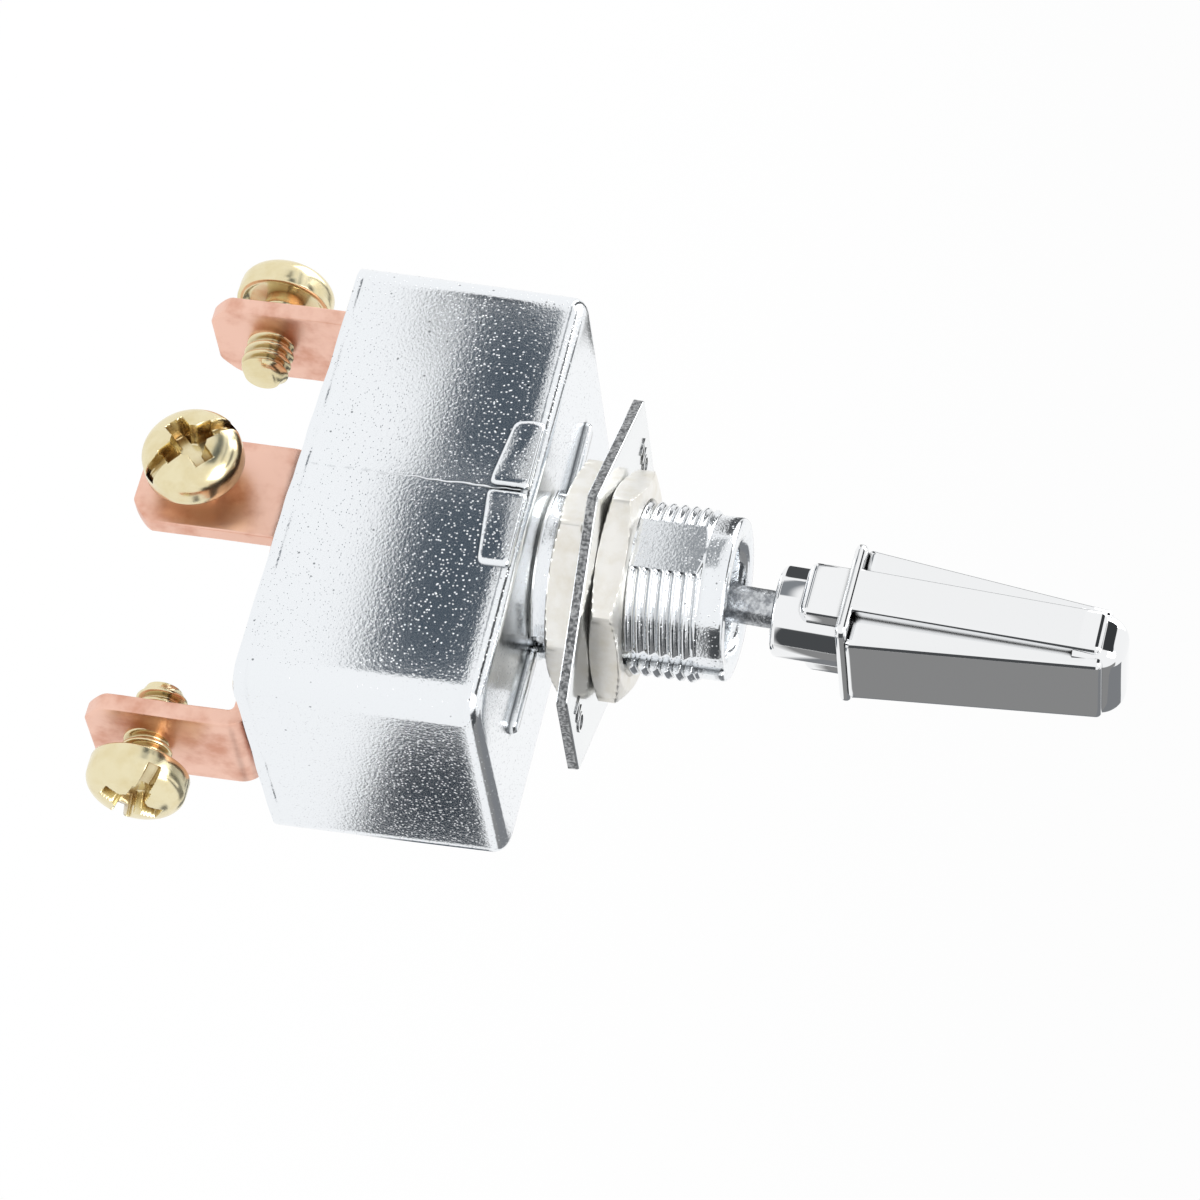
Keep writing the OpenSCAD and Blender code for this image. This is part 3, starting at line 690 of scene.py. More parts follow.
def housing_grid(sizes):
    """Whole skin of the casting as one torus of rows: up the outside, over the rounded front
    edge, across the front face, up the bushing and its thread, into the mouth, down the flared
    bore, out across the front wall's inside, and down the cavity to the rim."""
    turn = housing_directions()
    depth, edge, top, bore = sizes.depth, sizes.front_edge, sizes.bushing, sizes.bore
    rows = []
    for inset, share in ((0.3, 0.82), (0.12, 1.0), (0.02, 0.85), (0.0, 0.3)):
        rows.append(casting_row(turn, sizes, -depth, inset))
        rows[-1][:, 2] -= rim_lip(turn) * share
    broken = 0.5 + 0.3 * np.sin(11 * turn) + 0.2 * np.sin(27 * turn + 1)
    for z, share in ((0.3, 0.0), (0.42, 0.0), (0.5, 1.0), (0.58, 1.0), (0.66, 0.0)):
        rows.append(casting_row(turn, sizes, z - depth, 0.03 * share * broken))
    for z in np.linspace(-depth + 0.9, -edge, 22):
        rows.append(casting_row(turn, sizes, z, 0.0))
    for pull, rise in quarter(edge, np.linspace(11.25, 90, 8)):
        rows.append(casting_row(turn, sizes, rise - edge, pull))
    face = rows[-1]
    root = around(turn, BARREL + FILLET, 0.0)
    rows += [face * (1 - t) + root * t for t in np.linspace(0, 1, 12)[1:]]
    for pull, rise in quarter(FILLET, [60, 30, 0]):
        rows.append(around(turn, keyway_cut(turn, BARREL + pull), FILLET - rise))
    threaded = np.arange(6.5, sizes.thread_end + 0.5, sizes.pitch / 11)
    for z in (1.2, 1.7, 4.0, 6.4, *threaded, top - 0.9, top - 0.35):
        radius = BARREL if z < THREAD_START else bushing_reach(turn, sizes, z)
        rows.append(around(turn, keyway_cut(turn, radius), z))
    for pull, rise in quarter(0.3, [30, 60, 90]):
        rows.append(around(turn, keyway_cut(turn, sizes.plain - pull), top - 0.3 + rise))
    inside = [(bore + 0.62, top), (bore + 0.3, top - 0.12), (bore + 0.08, top - 0.45)]
    inside += [(bore, top - 0.8), (bore, 8.0), (bore, 5.0), (bore, 2.2), (bore + 0.6, 0.1)]
    inside += [(bore + 1.2, WALL_BACK + 0.02), (bore + 1.25, WALL_BACK)]
    rows += [around(turn, radius, z) for radius, z in inside]
    half_x, half_y = sizes.length / 2, sizes.width / 2
    cavity = round_rect_reach(turn, half_x - 1.7, half_y - 1.7, 1.0)
    for t in (0.3, 0.65, 1.0):
        rows.append(around(turn, (bore + 1.25) * (1 - t) + cavity * t, WALL_BACK))
    walls = [(1.7, 1.0, -2.2), (1.7, 1.0, -7.0), (1.7, 1.0, LEDGE + 0.02), (1.72, 1.02, LEDGE)]
    walls += [(1.2, 1.5, LEDGE), (1.2, 1.5, -13.2), (1.2, 1.5, -15.5), (1.18, 1.5, 0.4 - depth)]
    walls += [(1.02, 1.5, 0.24 - depth), (0.8, 1.5, 0.2 - depth), (0.6, 1.5, 0.02 - depth)]
    for wall, corner, z in walls:
        reach = round_rect_reach(turn, half_x - wall, half_y - wall, corner)
        rows.append(around(turn, reach, z))
    return np.array(rows)


def raised_pad(outline, sunk, height, bevel, plane):
    """Shell of a pad that stands on a face, and is sunk below it: its outline is drawn in
    towards its middle by the bevel while it rises, in a quarter circle, and its top is flat.
    plane turns (u, v, height) into X, Y, Z."""
    towards = outline.mean(axis=0) - outline
    towards /= np.linalg.norm(towards, axis=1, keepdims=True)
    rows = [plane(outline[:, 0], outline[:, 1], -sunk)]
    for pull, rise in quarter(1, np.linspace(0, 90, 6)):
        moved = outline + towards * bevel * pull
        rows.append(plane(moved[:, 0], moved[:, 1], height * rise))
    return shell(np.array(rows))


def cut_corners(corners, radius):
    """Outline of a polygon with each corner turned into a quadratic curve that starts and ends
    at a distance from it."""
    corners = np.array(corners, float)
    ends = []
    for step in (1, -1):
        side = np.roll(corners, step, axis=0) - corners
        length = np.linalg.norm(side, axis=1, keepdims=True)
        ends.append((corners + side / length * np.minimum(radius, 0.45 * length))[:, None])
    t = np.linspace(0, 1, 5)[None, :, None]
    curve = (1 - t) ** 2 * ends[0] + 2 * t * (1 - t) * corners[:, None] + t**2 * ends[1]
    return curve.reshape(-1, 2)


def rib_outline(x1, x2, y, half):
    """Outline of a rib along X with round ends."""
    turn = np.linspace(-math.pi / 2, math.pi / 2, 9)
    right = np.column_stack([x2 + half * np.cos(turn), y + half * np.sin(turn)])
    left = np.column_stack([x1 - half * np.cos(turn), y - half * np.sin(turn)])
    return np.vstack([right, left])


def housing_trim(sizes):
    """Small forms that stand on the casting: two ribs on the front face, two pads beside the
    parting line, the flash along it and the stakes at the rim."""
    rib = rib_outline(6.3, 11.9, 0.4, 0.6)
    shells = [raised_pad(rib * side, 0.4, 0.5, 0.35, ring) for side in (1, -1)]
    face_y = sizes.draft - sizes.width / 2
    rim = -sizes.depth

    def side_face(u, v, h):
        slope = sizes.die_draft * np.abs(u) / 17.5
        return np.stack([u, face_y + slope - 0.03 - h, -v], axis=-1)

    def back(u, v, h):
        return ring(u, v, rim + 0.12 - h)

    upper = [[-5.55, 0.35], [-0.18, 0.35], [-0.18, 3.05], [-0.9, 3.1], [-5.5, 2.5], [-5.75, 1.2]]
    lower = [[0.12, 0.35], [6.05, 0.35], [6.1, 2.5], [0.9, 3.05], [0.12, 3.1]]
    for corners in (upper, lower):
        shells.append(raised_pad(cut_corners(corners, 0.5), 0.5, 0.3, 0.5, side_face))

    z = np.linspace(rim + 0.3, -0.9, 60)[:, None]
    wander = 0.04 * np.sin(z * 1.7) + 0.03 * np.sin(z * 4.1)
    height = 0.18 + 0.03 * np.sin(z * 5.3)
    over = np.linspace(0, math.pi, 7)
    u = wander + np.append(0.08 * np.cos(over), [-0.07, 0.07])
    h = np.hstack([height * np.sin(over) - 0.004, np.full((60, 2), -0.3)])
    shells.append(shell(side_face(u, np.broadcast_to(-z, u.shape), h)))

    half_x, half_y = sizes.length / 2 - 1.2, sizes.width / 2 - 1.2
    spots = [(x, side * half_y) for x in (-10.5, 0, 10.5) for side in (-1, 1)]
    spots += [(side * half_x, y) for y in (-5, 5) for side in (-1, 1)]
    stake = around(np.arange(24) * TURN / 24, 0.85, 0.0)[:, :2]
    return shells + [raised_pad(stake + spot, 0.18, 0.1, 0.3, back) for spot in spots]


# ---- nuts and plate

NUT_HOLE = 5.72
PLATE_HOLE, PLATE_KEY_FLOOR, PLATE_KEY_HALF = 6.05, 5.3, 0.9


def hex_nut(across, z0, z1, corner_turn):
    """Hexagon nut: each direction reaches to the nearest flat, held in by a cone at both rims,
    which leaves the curved edge that turning the chamfer gives. The hole has its own bevels."""
    turn = np.arange(360) * TURN / 360 + corner_turn
    fold = (turn - corner_turn) % (TURN / 6) - TURN / 12
    flat = soft_min(across / 2 / np.cos(fold), across / 2 / math.cos(TURN / 12) - 0.05, 0.08)
    half = (z1 - z0) / 2
    middle = (z0 + z1) / 2
    steps = [half - drop for drop in (0, 0.04, 0.1, 0.16, 0.24, 0.33, 0.45)]
    bevel = [(NUT_HOLE, half - 0.45), (NUT_HOLE + 0.4, half), (across / 2 - 0.75, half)]
    rows = [around(turn, radius, middle + height) for radius, height in bevel]
    for height in steps + [0.0] + [-step for step in steps[::-1]]:
        cone = across / 2 - 0.12 + (half - abs(height)) * 2.9
        rows.append(around(turn, soft_min(flat, cone, 0.05), middle + height))
    rows += [around(turn, radius, middle - height) for radius, height in bevel[::-1]]
    return shell(np.array(rows), wrap=True)


def plate_outline(sizes, turn):
    """Reach of the six-sided plate in each direction: the nearest of its six sides, with the
    corners between them rounded."""
    half_l = sizes.plate_l / 2
    half_w = sizes.plate_w / 2
    drop = half_w - sizes.plate_end / 2
    run = math.hypot(half_l, drop)
    c = np.abs(np.cos(turn))
    s = np.abs(np.sin(turn))
    to_side = half_w * half_l / run / (drop / run * c + half_l / run * s)
    reach = soft_min(half_l / np.maximum(c, 1e-6), to_side, 0.35)
    return soft_min(reach, half_w + (1 - s) * 14, 0.3)


def indicator_plate(sizes, z0):
    """Stamped plate: rows go round its section at each direction, from the hole over the upper
    face to the rounded rim and back below. The lower rim carries the small burr of the punch."""
    turn = np.arange(0, 360, 0.75) * math.pi / 180
    outer = plate_outline(sizes, turn)
    in_key = (np.abs(np.sin(turn) * PLATE_HOLE) < PLATE_KEY_HALF) & (np.cos(turn) > 0)
    hole = np.where(in_key, PLATE_KEY_FLOOR / np.maximum(np.cos(turn), 0.1), PLATE_HOLE)
    z1 = z0 + sizes.plate_t
    rim, burr = 0.16, 0.03
    rows = [(hole, z0), (hole, z1)]
    rows += [(hole + (outer - rim - hole) * share, z1) for share in (0.35, 0.7)]
    rows += [(outer - pull, z1 - rim + rise) for pull, rise in quarter(rim, [90, 68, 45, 23, 0])]
    rows += [(outer, z0 + 0.3), (outer + burr, z0 + 0.05), (outer, z0)]
    rows += [(hole + (outer - hole) * share, z0) for share in (0.7, 0.35)]
    return shell(np.array([around(turn, radius, z) for radius, z in rows]), wrap=True)


def word_mesh(name, text, centre, turn, z):
    """Mesh of a short word, raised from the plate: a flat text curve made a mesh, then sized,
    turned and put in place."""
    curve = bpy.data.curves.new(name, "FONT")
    curve.body = text
    curve.align_x = "CENTER"
    curve.align_y = "CENTER"
    curve.size = 1.0
    curve.extrude = 0.5
    holder = in_scene("word", curve)
    bpy.context.view_layer.update()
    mesh = bpy.data.meshes.new_from_object(holder)
    mesh.name = name
    bpy.data.objects.remove(holder)
    height, raised = 2.0, 0.2
    grown = Matrix.Diagonal((height, height, raised, 1))
    place = Matrix.Translation((*centre, z)) @ Matrix.Rotation(turn, 4, "Z") @ grown
    mesh.transform(Matrix.Scale(MM, 4) @ place)
    return mesh


# ---- terminals

# name, turn about Z from +X, the size that gives its reach, turn of the screw's slot
TERMINALS = (
    ("left", math.pi, "outer", math.radians(20)),
    ("right", 0.0, "outer", math.radians(58)),
    ("middle", -math.pi / 2, "middle", math.radians(46)),
)
SCREW_PITCH, THREAD_DEPTH = 0.794, 0.42


def strip_path(sizes):
    """Middle line of an L strip in the XZ plane, as x, z and normal of each station: the foot,
    the quarter-circle bend and the leg, with stations close together at the leg's end."""
    half_t = sizes.thickness / 2
    outer = sizes.thickness + 0.4
    bend = outer - half_t
    leg = sizes.seat_z - sizes.end_z
    stations = [(u - sizes.foot, -half_t, 0.0, 1.0) for u in (0.0, 0.1, 0.25, 2.5, 5.0)]
    for a in np.radians(np.linspace(90, 0, 13)):
        c, s = math.cos(a), math.sin(a)
        stations.append((bend * c - outer, bend * s - outer, c, s))
    before_end = (1.6, 1.4, 1.2, 1.0, 0.8, 0.6, 0.45, 0.3, 0.2, 0.1, 0.04, 0.0)
    for u in (3.5, 5.0, 7.0, 9.0, *(leg - distance for distance in before_end)):
        stations.append((-half_t, -u, 1.0, 0.0))
    return np.array(stations).T, leg


def copper_strip(sizes):
    """Strip with a round-edged section carried along its L. Near its free end the width shrinks
    by the two corner cuts, and the last stations draw the section in to round the end."""
    path, leg = strip_path(sizes)
    to_end = np.where(path[2] > 0.99, path[1] + leg, 99.0)
    narrow = 1.6 * (np.clip(1.6 - to_end, 0, 1.6) / 1.6) ** 1.45
    pull = np.clip(0.2 - to_end, 0, 0.2) / 0.2
    draw = 0.14 * (1 - np.sqrt(np.clip(1 - pull**2, 0, 1)))
    draw[:2] += (0.12, 0.05)
    rows = []
    for (x, z, nx, nz), cut, drawn in zip(path.T, narrow, draw):
        half_w = sizes.width / 2 - cut - drawn
        corner = max(0.13 - drawn * 0.4, 0.04)
        across, through = round_rect(half_w, sizes.thickness / 2 - drawn, corner, 5, 10)
        through = through + 0.02 * math.sin(z * 0.9)
        rows.append(np.stack([x + nx * through, across, z + nz * through], axis=-1))
    return np.array(rows)


def disc_points(side):
    """Square grid drawn onto the unit disc: each square ring goes to a circle, and the rings
    lie closer together towards the edge, by a sine."""
    s = np.linspace(-1, 1, side)
    a, b = np.meshgrid(s, s, indexing="ij")
    wide = np.abs(a) > np.abs(b)
    radius = np.sin(1.45 * np.where(wide, a, b)) / math.sin(1.45)
    safe_a = np.where(wide, a, 1.0)
    safe_b = np.where(wide | (b == 0), 1.0, b)
    turn = np.where(wide, math.pi / 4 * b / safe_a, math.pi / 2 - math.pi / 4 * a / safe_b)
    return radius * np.cos(turn), radius * np.sin(turn)


def groove(across, along, half, reach, depth, wall):
    """Depth of a straight groove with slanting sides and ends."""
    sides = np.clip((half - np.abs(across)) / wall, 0, 1)
    ends = np.clip((reach - np.abs(along)) / (wall * 1.6), 0, 1)
    return depth * np.minimum(sides, ends)


def recess_depth(u, v):
    """Depth of the combined recess, the deepest of its parts: a slot right across, a cross
    with slanting walls, and a deeper middle."""
    slot = groove(v, u, 0.5, 3.6, 0.85, 0.14)
    cross_u = groove(v, u, 0.68, 2.1, 1.6, 0.3)
    cross_v = groove(u, v, 0.68, 2.1, 1.6, 0.3)
    hub = np.clip((1.25 - np.hypot(u, v)) / 0.5, 0, 1) * 1.6
    return np.maximum(np.maximum(slot, hub), np.maximum(cross_u, cross_v))


def screw_head(sizes, slot_turn):
    """Binding head: a dome by a superellipse, with the recess pressed in. The grid's height is
    the dome less the recess, and rings carry on down the edge, over the narrow rim that bears
    on the wire, and into the undercut below the head."""
    radius, height, edge_h = sizes.head_r, sizes.head_h, 1.15
    u, v = np.array(disc_points(141)) * (radius - 0.03)
    share = np.clip(np.hypot(u, v) / radius, 0, 1)
    dome = edge_h + (height - edge_h) * (1 - share**2.7) ** 0.5
    c = math.cos(slot_turn)
    s = math.sin(slot_turn)
    level = dome - recess_depth(c * u + s * v, c * v - s * u)
    disc = np.stack([u, v, level], axis=-1)
    edge = rim_of(disc)[:, :2]
    way = edge / np.linalg.norm(edge, axis=1, keepdims=True)
    # distance in from the head's radius, and height above its underside
    section = [(0.004, edge_h - 0.02), (0, edge_h - 0.2), (0, 0.6), (0, 0.16), (0.04, 0.05)]
    section += [(0.14, 0.0), (0.42, 0.0), (0.5, 0.06), (0.72, 0.42), (1.0, 0.52)]
    section += [(radius - sizes.screw_r * 0.8, 0.52)]
    rings = [ring(*(way * (radius - inset)).T, z) for inset, z in section]
    return capped_disc(disc, np.array(rings))


def screw_shank(sizes):
    """Threaded shank: a helical V thread that fades in under the head and ends in a chamfer."""
    root = sizes.screw_r - THREAD_DEPTH
    length = sizes.gap + sizes.thickness + sizes.tip
    turn = np.arange(96) * TURN / 96
    cut = np.arange(0, length - 0.45, SCREW_PITCH / 14)
    rows = []
    for z in (length, length - 0.4, *cut[::-1]):
        fade = smooth_step(z, 0.25, 0.8)
        radius = thread(turn, -z, sizes.screw_r, root, SCREW_PITCH) * fade
        radius = np.minimum(radius + (root + 0.12) * (1 - fade), root - 0.05 + (length - z) * 1.2)
        rows.append(around(turn, radius, -z))
    rows.append(around(turn, root, 0.8))
    return shell(np.array(rows))


def screw_frame(points, sizes):
    """Points of a screw, drawn with its head up along Z from the underside at 0, laid along X so
    that the head stands off the strip's outer face."""
    drop = sizes.screw_z - sizes.seat_z
    return np.stack([points[..., 2] + sizes.gap, points[..., 1], drop - points[..., 0]], axis=-1)


# ---- lever and handle

ARM_END, BORE_R = -5.0, 1.65
# Z of the spring's ends (mm) before the lever leans: on the plunger, and in the lever's bore
SPRING_ENDS = (-2.2, 1.8)
CORE_TOP, PADS_TOP = 37.9, 38.15


def lever_profile(sizes):
    """Profile of the turned lever, from the arm's open end up to the neck's tip: bore, arm,
    ball, cone and neck."""
    pivot, arm, neck = sizes.pivot, sizes.arm, sizes.neck
    drop = math.degrees(math.asin(arm / sizes.ball))
    inside = [(0.02, SPRING_ENDS[1]), (BORE_R, SPRING_ENDS[1]), (BORE_R, ARM_END + 0.1)]
    foot = [(BORE_R + 0.1, ARM_END), (arm - 0.2, ARM_END), (arm, ARM_END + 0.2)]
    ball = arc(0, pivot, sizes.ball, drop - 90, 44.5, 26)
    cone = [(2.6, pivot + 2.65), (neck + 0.25, pivot + 4.6)]
    blend = arc(neck + 0.5, pivot + 5.1, 0.5, 200, 180, 4)
    top = [(neck, 26.5), (neck - 0.4, 27.0), (0.02, 27.0)]
    return np.vstack([inside, foot, ball, cone, blend, top])


def paddle_core(sizes):
    """Core of the paddle: a slab that narrows a little towards the tip."""
    z0 = sizes.flange_z + sizes.flange_t - 0.3
    levels = []
    for t in np.linspace(0, 1, 12):
        levels.append((z0 + (CORE_TOP - z0) * t, 1.7 - 0.1 * t, 4.45 - 0.3 * t, 0.42))
    for pull, rise in quarter(0.45, [20, 40, 60, 80, 90]):
        levels.append((CORE_TOP + rise, 1.6 - pull, 4.15 - pull, max(0.42 - pull, 0.1)))
    return shell(loft(levels))


def paddle_pads(sizes):
    """Both pads as one slab through the core, tapering in X from the flange to the tip, with
    narrow round edges and rounded ends."""
    z0 = sizes.flange_z + sizes.flange_t
    edge = 0.5
    levels = []
    for pull, rise in quarter(0.3, [70, 45, 0]):
        levels.append((z0 + 0.2 - rise, 3.92 - pull, 3.5 - pull, edge))
    for t in np.linspace(0.04, 1, 16):
        levels.append((z0 + (PADS_TOP - z0) * t, 3.92 - 1.56 * t, 3.5 - 0.15 * t, edge))
    for pull, rise in quarter(0.4, [20, 40, 60, 75, 90]):
        levels.append((PADS_TOP + rise, 2.36 - pull, 3.35 - pull, max(edge - pull, 0.12)))
    return shell(loft(levels))


def paddle_tip(sizes):
    """Domed cap: a round-cornered rectangle whose sides pull in along a quarter circle of
    1.75 mm up to the tip."""
    radius = 1.75
    levels = [(36.5, 2.09, 3.84, 0.9), (37.4, 2.07, 3.82, 1.1)]
    for pull, rise in quarter(radius, np.linspace(0, 88, 14)):
        corner = max(1.3 - pull, 0.12)
        levels.append((sizes.tip - radius + rise, 2.05 - pull, 3.8 - pull, corner))
    return shell(loft(levels, 12, 6))


def handle_foot(sizes):
    """Sleeve, two gussets and flange. The gussets stand on the ±Y sides of the sleeve and end
    in a round edge below."""
    r, z0, flange = sizes.sleeve, sizes.sleeve_z, sizes.flange_z
    neck = sizes.neck + 0.03
    profile = [(neck, z0 + 1.0), (neck, z0 + 0.25), (neck + 0.2, z0), (r - 0.35, z0)]
    profile += [(r - 0.14, z0 + 0.06), (r - 0.03, z0 + 0.2), (r, z0 + 0.4), (r, flange + 0.5)]
    profile += [(0.3, flange + 0.5), (0.3, z0 + 1.0)]
    shells = [turned(profile, wrap=True)]
    levels = []
    for pull, rise in quarter(0.65, [90, 70, 50, 30, 15, 0]):
        levels.append((18.65 - rise, 2.05 - pull, 1.3 - pull, 0.4))
    gusset = loft(levels + [(flange + 0.5, 2.05, 1.3, 0.4)])
    for side in (1, -1):
        shells.append(shell((gusset + (0, 2.45, 0)) * (1, side, 1)))
    levels = []
    for pull, rise in quarter(0.35, np.linspace(90, 0, 5)):
        levels.append((flange + 0.55 - rise, 3.75 - pull, 4.55 - pull, 0.8 - pull))
    for pull, rise in quarter(0.35, np.linspace(0, 90, 5)):
        z = flange + sizes.flange_t - 0.35 + rise
        levels.append((z, 3.75 - pull, 4.55 - pull, 0.8 - pull))
    return shells + [shell(loft(levels, 10, 4))]


def coil_spring():
    """Compression spring of six turns, as a grid with rows along the helix and columns round
    the wire: ((R + w cos b) cos a, (R + w cos b) sin a, z(a) + w sin b)."""
    mean, wire, turns = 1.15, 0.19, 6
    low = SPRING_ENDS[0] + wire + 0.01
    high = SPRING_ENDS[1] - wire - 0.01
    helix = np.linspace(0, turns * TURN, turns * 24 + 1)
    a, b = np.meshgrid(helix, np.arange(12) * TURN / 12, indexing="ij")
    z = low + (high - low) * a / (turns * TURN) + wire * np.sin(b)
    return around(a, mean + wire * np.cos(b), z)


# ---- operators

# name, lower left and lower right corner, top height (mm), tone, fade at sides, below and above
CARDS = (
    ("card front left", (-38.0, -40, -16.9), (-19.7, -40, -16.6), -5.2, "4b555f", (1, 2.6, 0.7)),
    ("card front right", (-20.6, -40, -17.9), (0.4, -40, -17.2), -5.2, "4b555f", (1, 2.6, 0.7)),
    ("card plate edge", (-29, -40, -3.9), (-9, -40, -3.9), -2.0, "26282a", (3, 0.5, 0.5)),
    ("card right", (47.5, 41.2, -18.8), (47.5, 70, -28.0), -10.6, "27303a", (0.8, 1.6, 0.5)),
    ("card right dark", (28, -9.5, 7), (28, 17.5, 7), 42, "4a4c4e", (1, 1, 1)),
    ("card right grey", (28, 16, 6), (28, 60, 6), 90, "8b8b8b", (1, 1, 1)),
    ("card back grey", (31, 52, 6), (-8, 52, 6), 80, "808285", (1, 1, 1)),
    ("card left dark", (-47.5, 40, 4), (-47.5, -26, 4), 12, "4a4c4e", (2, 1, 1)),
    ("card left thin", (-28, 9, 14), (-28, 0, 14), 42, "77797b", (1.5, 2, 2)),
    ("card cap", (-75, -45, 45), (10, -45, 45), 105, "3a3c3e", (2, 1.5, 4)),
    ("card front grey", (-60, -40, 0.5), (-4, -40, 0.5), 8, "85898d", (2, 2.5, 2.5)),
    ("card back low", (-40, 40, -18), (22, 40, -18), -6.4, "48525c", (1.5, 4.5, 0.9)),
    ("card left low", (-47.5, -62, -26.5), (-47.5, -38.6, -18.5), -11.2, "323b44", (1.2, 3.5, 0.9)),
)
# name, place in metres, width in metres, power in watts
LAMPS = (
    ("key lamp", (0.25, -0.45, 0.75), 0.6, 5.0),
    ("fill lamp", (-0.7, -0.1, 0.35), 0.7, 3.5),
)
FLOOR_HALF = 9.0


def seen_rays(tree):
    """1 for camera, glossy and transmission rays, 0 for the rest."""
    path = add_node(tree, "ShaderNodeLightPath").outputs
    rays = {0: path["Is Camera Ray"], 1: path["Is Glossy Ray"]}
    total = add_node(tree, MATH, {"operation": "ADD"}, rays)
    clamped = {"operation": "ADD", "use_clamp": True}
    return add_node(tree, MATH, clamped, {0: total, 1: path["Is Transmission Ray"]})


class SWITCH_OT_studio(Operator):
    """Sets up the floor, the world, the lamps, the dark cards and the camera"""

    bl_idname = "switch.studio"
    bl_label = "Studio"

    def execute(self, context):
        settings = context.scene.switch_studio
        context.scene.view_settings.view_transform = "Standard"
        self.make_floor(settings)
        self.make_world(context.scene)
        self.make_lamps()
        self.make_cards()
        self.make_camera(context.scene, settings)
        return {"FINISHED"}

    def make_floor(self, settings):
        """A wide flat floor, white to the camera and pale to the light."""
        steps = np.linspace(-FLOOR_HALF, FLOOR_HALF, 5)
        points = ring(*np.meshgrid(steps, steps, indexing="ij"), cad_box[0][2] - settings.floor)
        mesh = bpy.data.meshes.new("floor")
        quads = grid_faces(np.arange(25).reshape(5, 5))
        mesh.from_pydata(points.reshape(-1, 3).tolist(), [], quads.tolist())
        pale = linear("f7f7f7")
        material, tree, shader = with_nodes(
            "matt white paper sweep", Base_Color=pale, Roughness=0.9, Specular_IOR_Level=0.0
        )
        glow = add_node(tree, EMISSION, {"Color": linear("ffffff"), "Strength": 1.0})
        share = add_node(tree, MATH, {"operation": "MULTIPLY", 1: 0.96}, {0: seen_rays(tree)})
        surface = tree.nodes["Material Output"].inputs["Surface"]
        layers = {0: share, 1: shader, 2: glow}
        add_node(tree, "ShaderNodeMixShader", links=layers, to=surface)
        mesh.materials.append(material)
        in_scene("floor", mesh)

    def make_world(self, scene):
        """White to the camera and in reflections, and a soft grey light elsewhere."""
        scene.world = bpy.data.worlds.new("studio")
        scene.world.use_nodes = True
        tree = scene.world.node_tree
        tones = {"data_type": "RGBA", 6: linear("c4c6c8"), 7: linear("ffffff")}
        add_node(tree, MIX, tones, {0: seen_rays(tree)}, to=tree.nodes["Background"].inputs[0])

    def make_lamps(self):
        """Two large soft lamps, one from the handle's side and one from behind the camera."""
        for name, place, wide, power in LAMPS:
            lamp = bpy.data.lights.new(name, "AREA")
            lamp.shape = "SQUARE"
            lamp.size = wide
            lamp.energy = power
            held = in_scene(name, lamp)
            held.location = place
            held.rotation_euler = (-Vector(place)).to_track_quat("-Z", "Y").to_euler()

    def make_cards(self):
        """Cards close to the switch, seen only in reflections: they give the plated metal its
        dark parts, as grey card does beside polished work. Each is a flat upright grid, and
        fades into white at its edges over given widths."""
        paper, tree, _ = with_nodes("grey card")
        tone = add_node(tree, "ShaderNodeAttribute", {"attribute_name": "paper"})
        surface = tree.nodes["Material Output"].inputs["Surface"]
        add_node(tree, EMISSION, links={"Color": tone}, to=surface)
        steps = 33
        a, b = np.meshgrid(*[np.linspace(0, 1, steps)] * 2, indexing="ij")
        quads = grid_faces(np.arange(steps * steps).reshape(steps, steps)).tolist()
        for name, left, right, top, code, (side, below, above) in CARDS:
            across = np.subtract(right, left)
            points = left + a[..., None] * across
            tall = top - points[..., 2]
            points[..., 2] += b * tall
            shade = smooth_step(np.minimum(a, 1 - a) * np.linalg.norm(across), 0, side)
            shade *= smooth_step(b * tall, 0, below) * smooth_step((1 - b) * tall, 0, above)
            shade = shade.reshape(-1, 1)
            mesh = bpy.data.meshes.new(name)
            mesh.from_pydata((points.reshape(-1, 3) * MM).tolist(), [], quads)
            tones = mesh.color_attributes.new("paper", "FLOAT_COLOR", "POINT")
            tones.data.foreach_set("color", (shade * linear(code) + (1 - shade)).ravel())
            mesh.materials.append(paper)
            card = in_scene(name, mesh)
            for rays in ("camera", "diffuse", "shadow", "transmission"):
                setattr(card, "visible_" + rays, False)

    def make_camera(self, scene, settings):
        """Camera on a line through its target, by azimuth, elevation and distance, turned about
        that line by the roll."""
        a, e, r = settings.azimuth, settings.elevation, settings.roll
        back = Vector((math.sin(a) * math.cos(e), -math.cos(a) * math.cos(e), math.sin(e)))
        level = Vector((math.cos(a), math.sin(a), 0))
        above = back.cross(level)
        right = level * math.cos(r) + above * math.sin(r)
        up = above * math.cos(r) - level * math.sin(r)
        data = bpy.data.cameras.new("camera")
        data.lens = settings.lens
        data.sensor_width = 36
        data.clip_start = 0.01
        scene.camera = in_scene("camera", data)
        facing = Matrix((right, up, back)).transposed().to_4x4()
        place = Vector(settings.target) + back * settings.distance
        scene.camera.matrix_world = Matrix.Translation(place) @ facing


class SWITCH_OT_housing(Operator):
    """Builds the cast housing with its threaded bushing"""

    bl_idname = "switch.housing"
    bl_label = "Housing"

    def execute(self, context):
        sizes = Millimetres(context.scene.switch_housing)
        shells = [shell(housing_grid(sizes), wrap=True)] + housing_trim(sizes)
        piece("cast_housing", shells, "zinc", "body", "housing", 40)
        return {"FINISHED"}


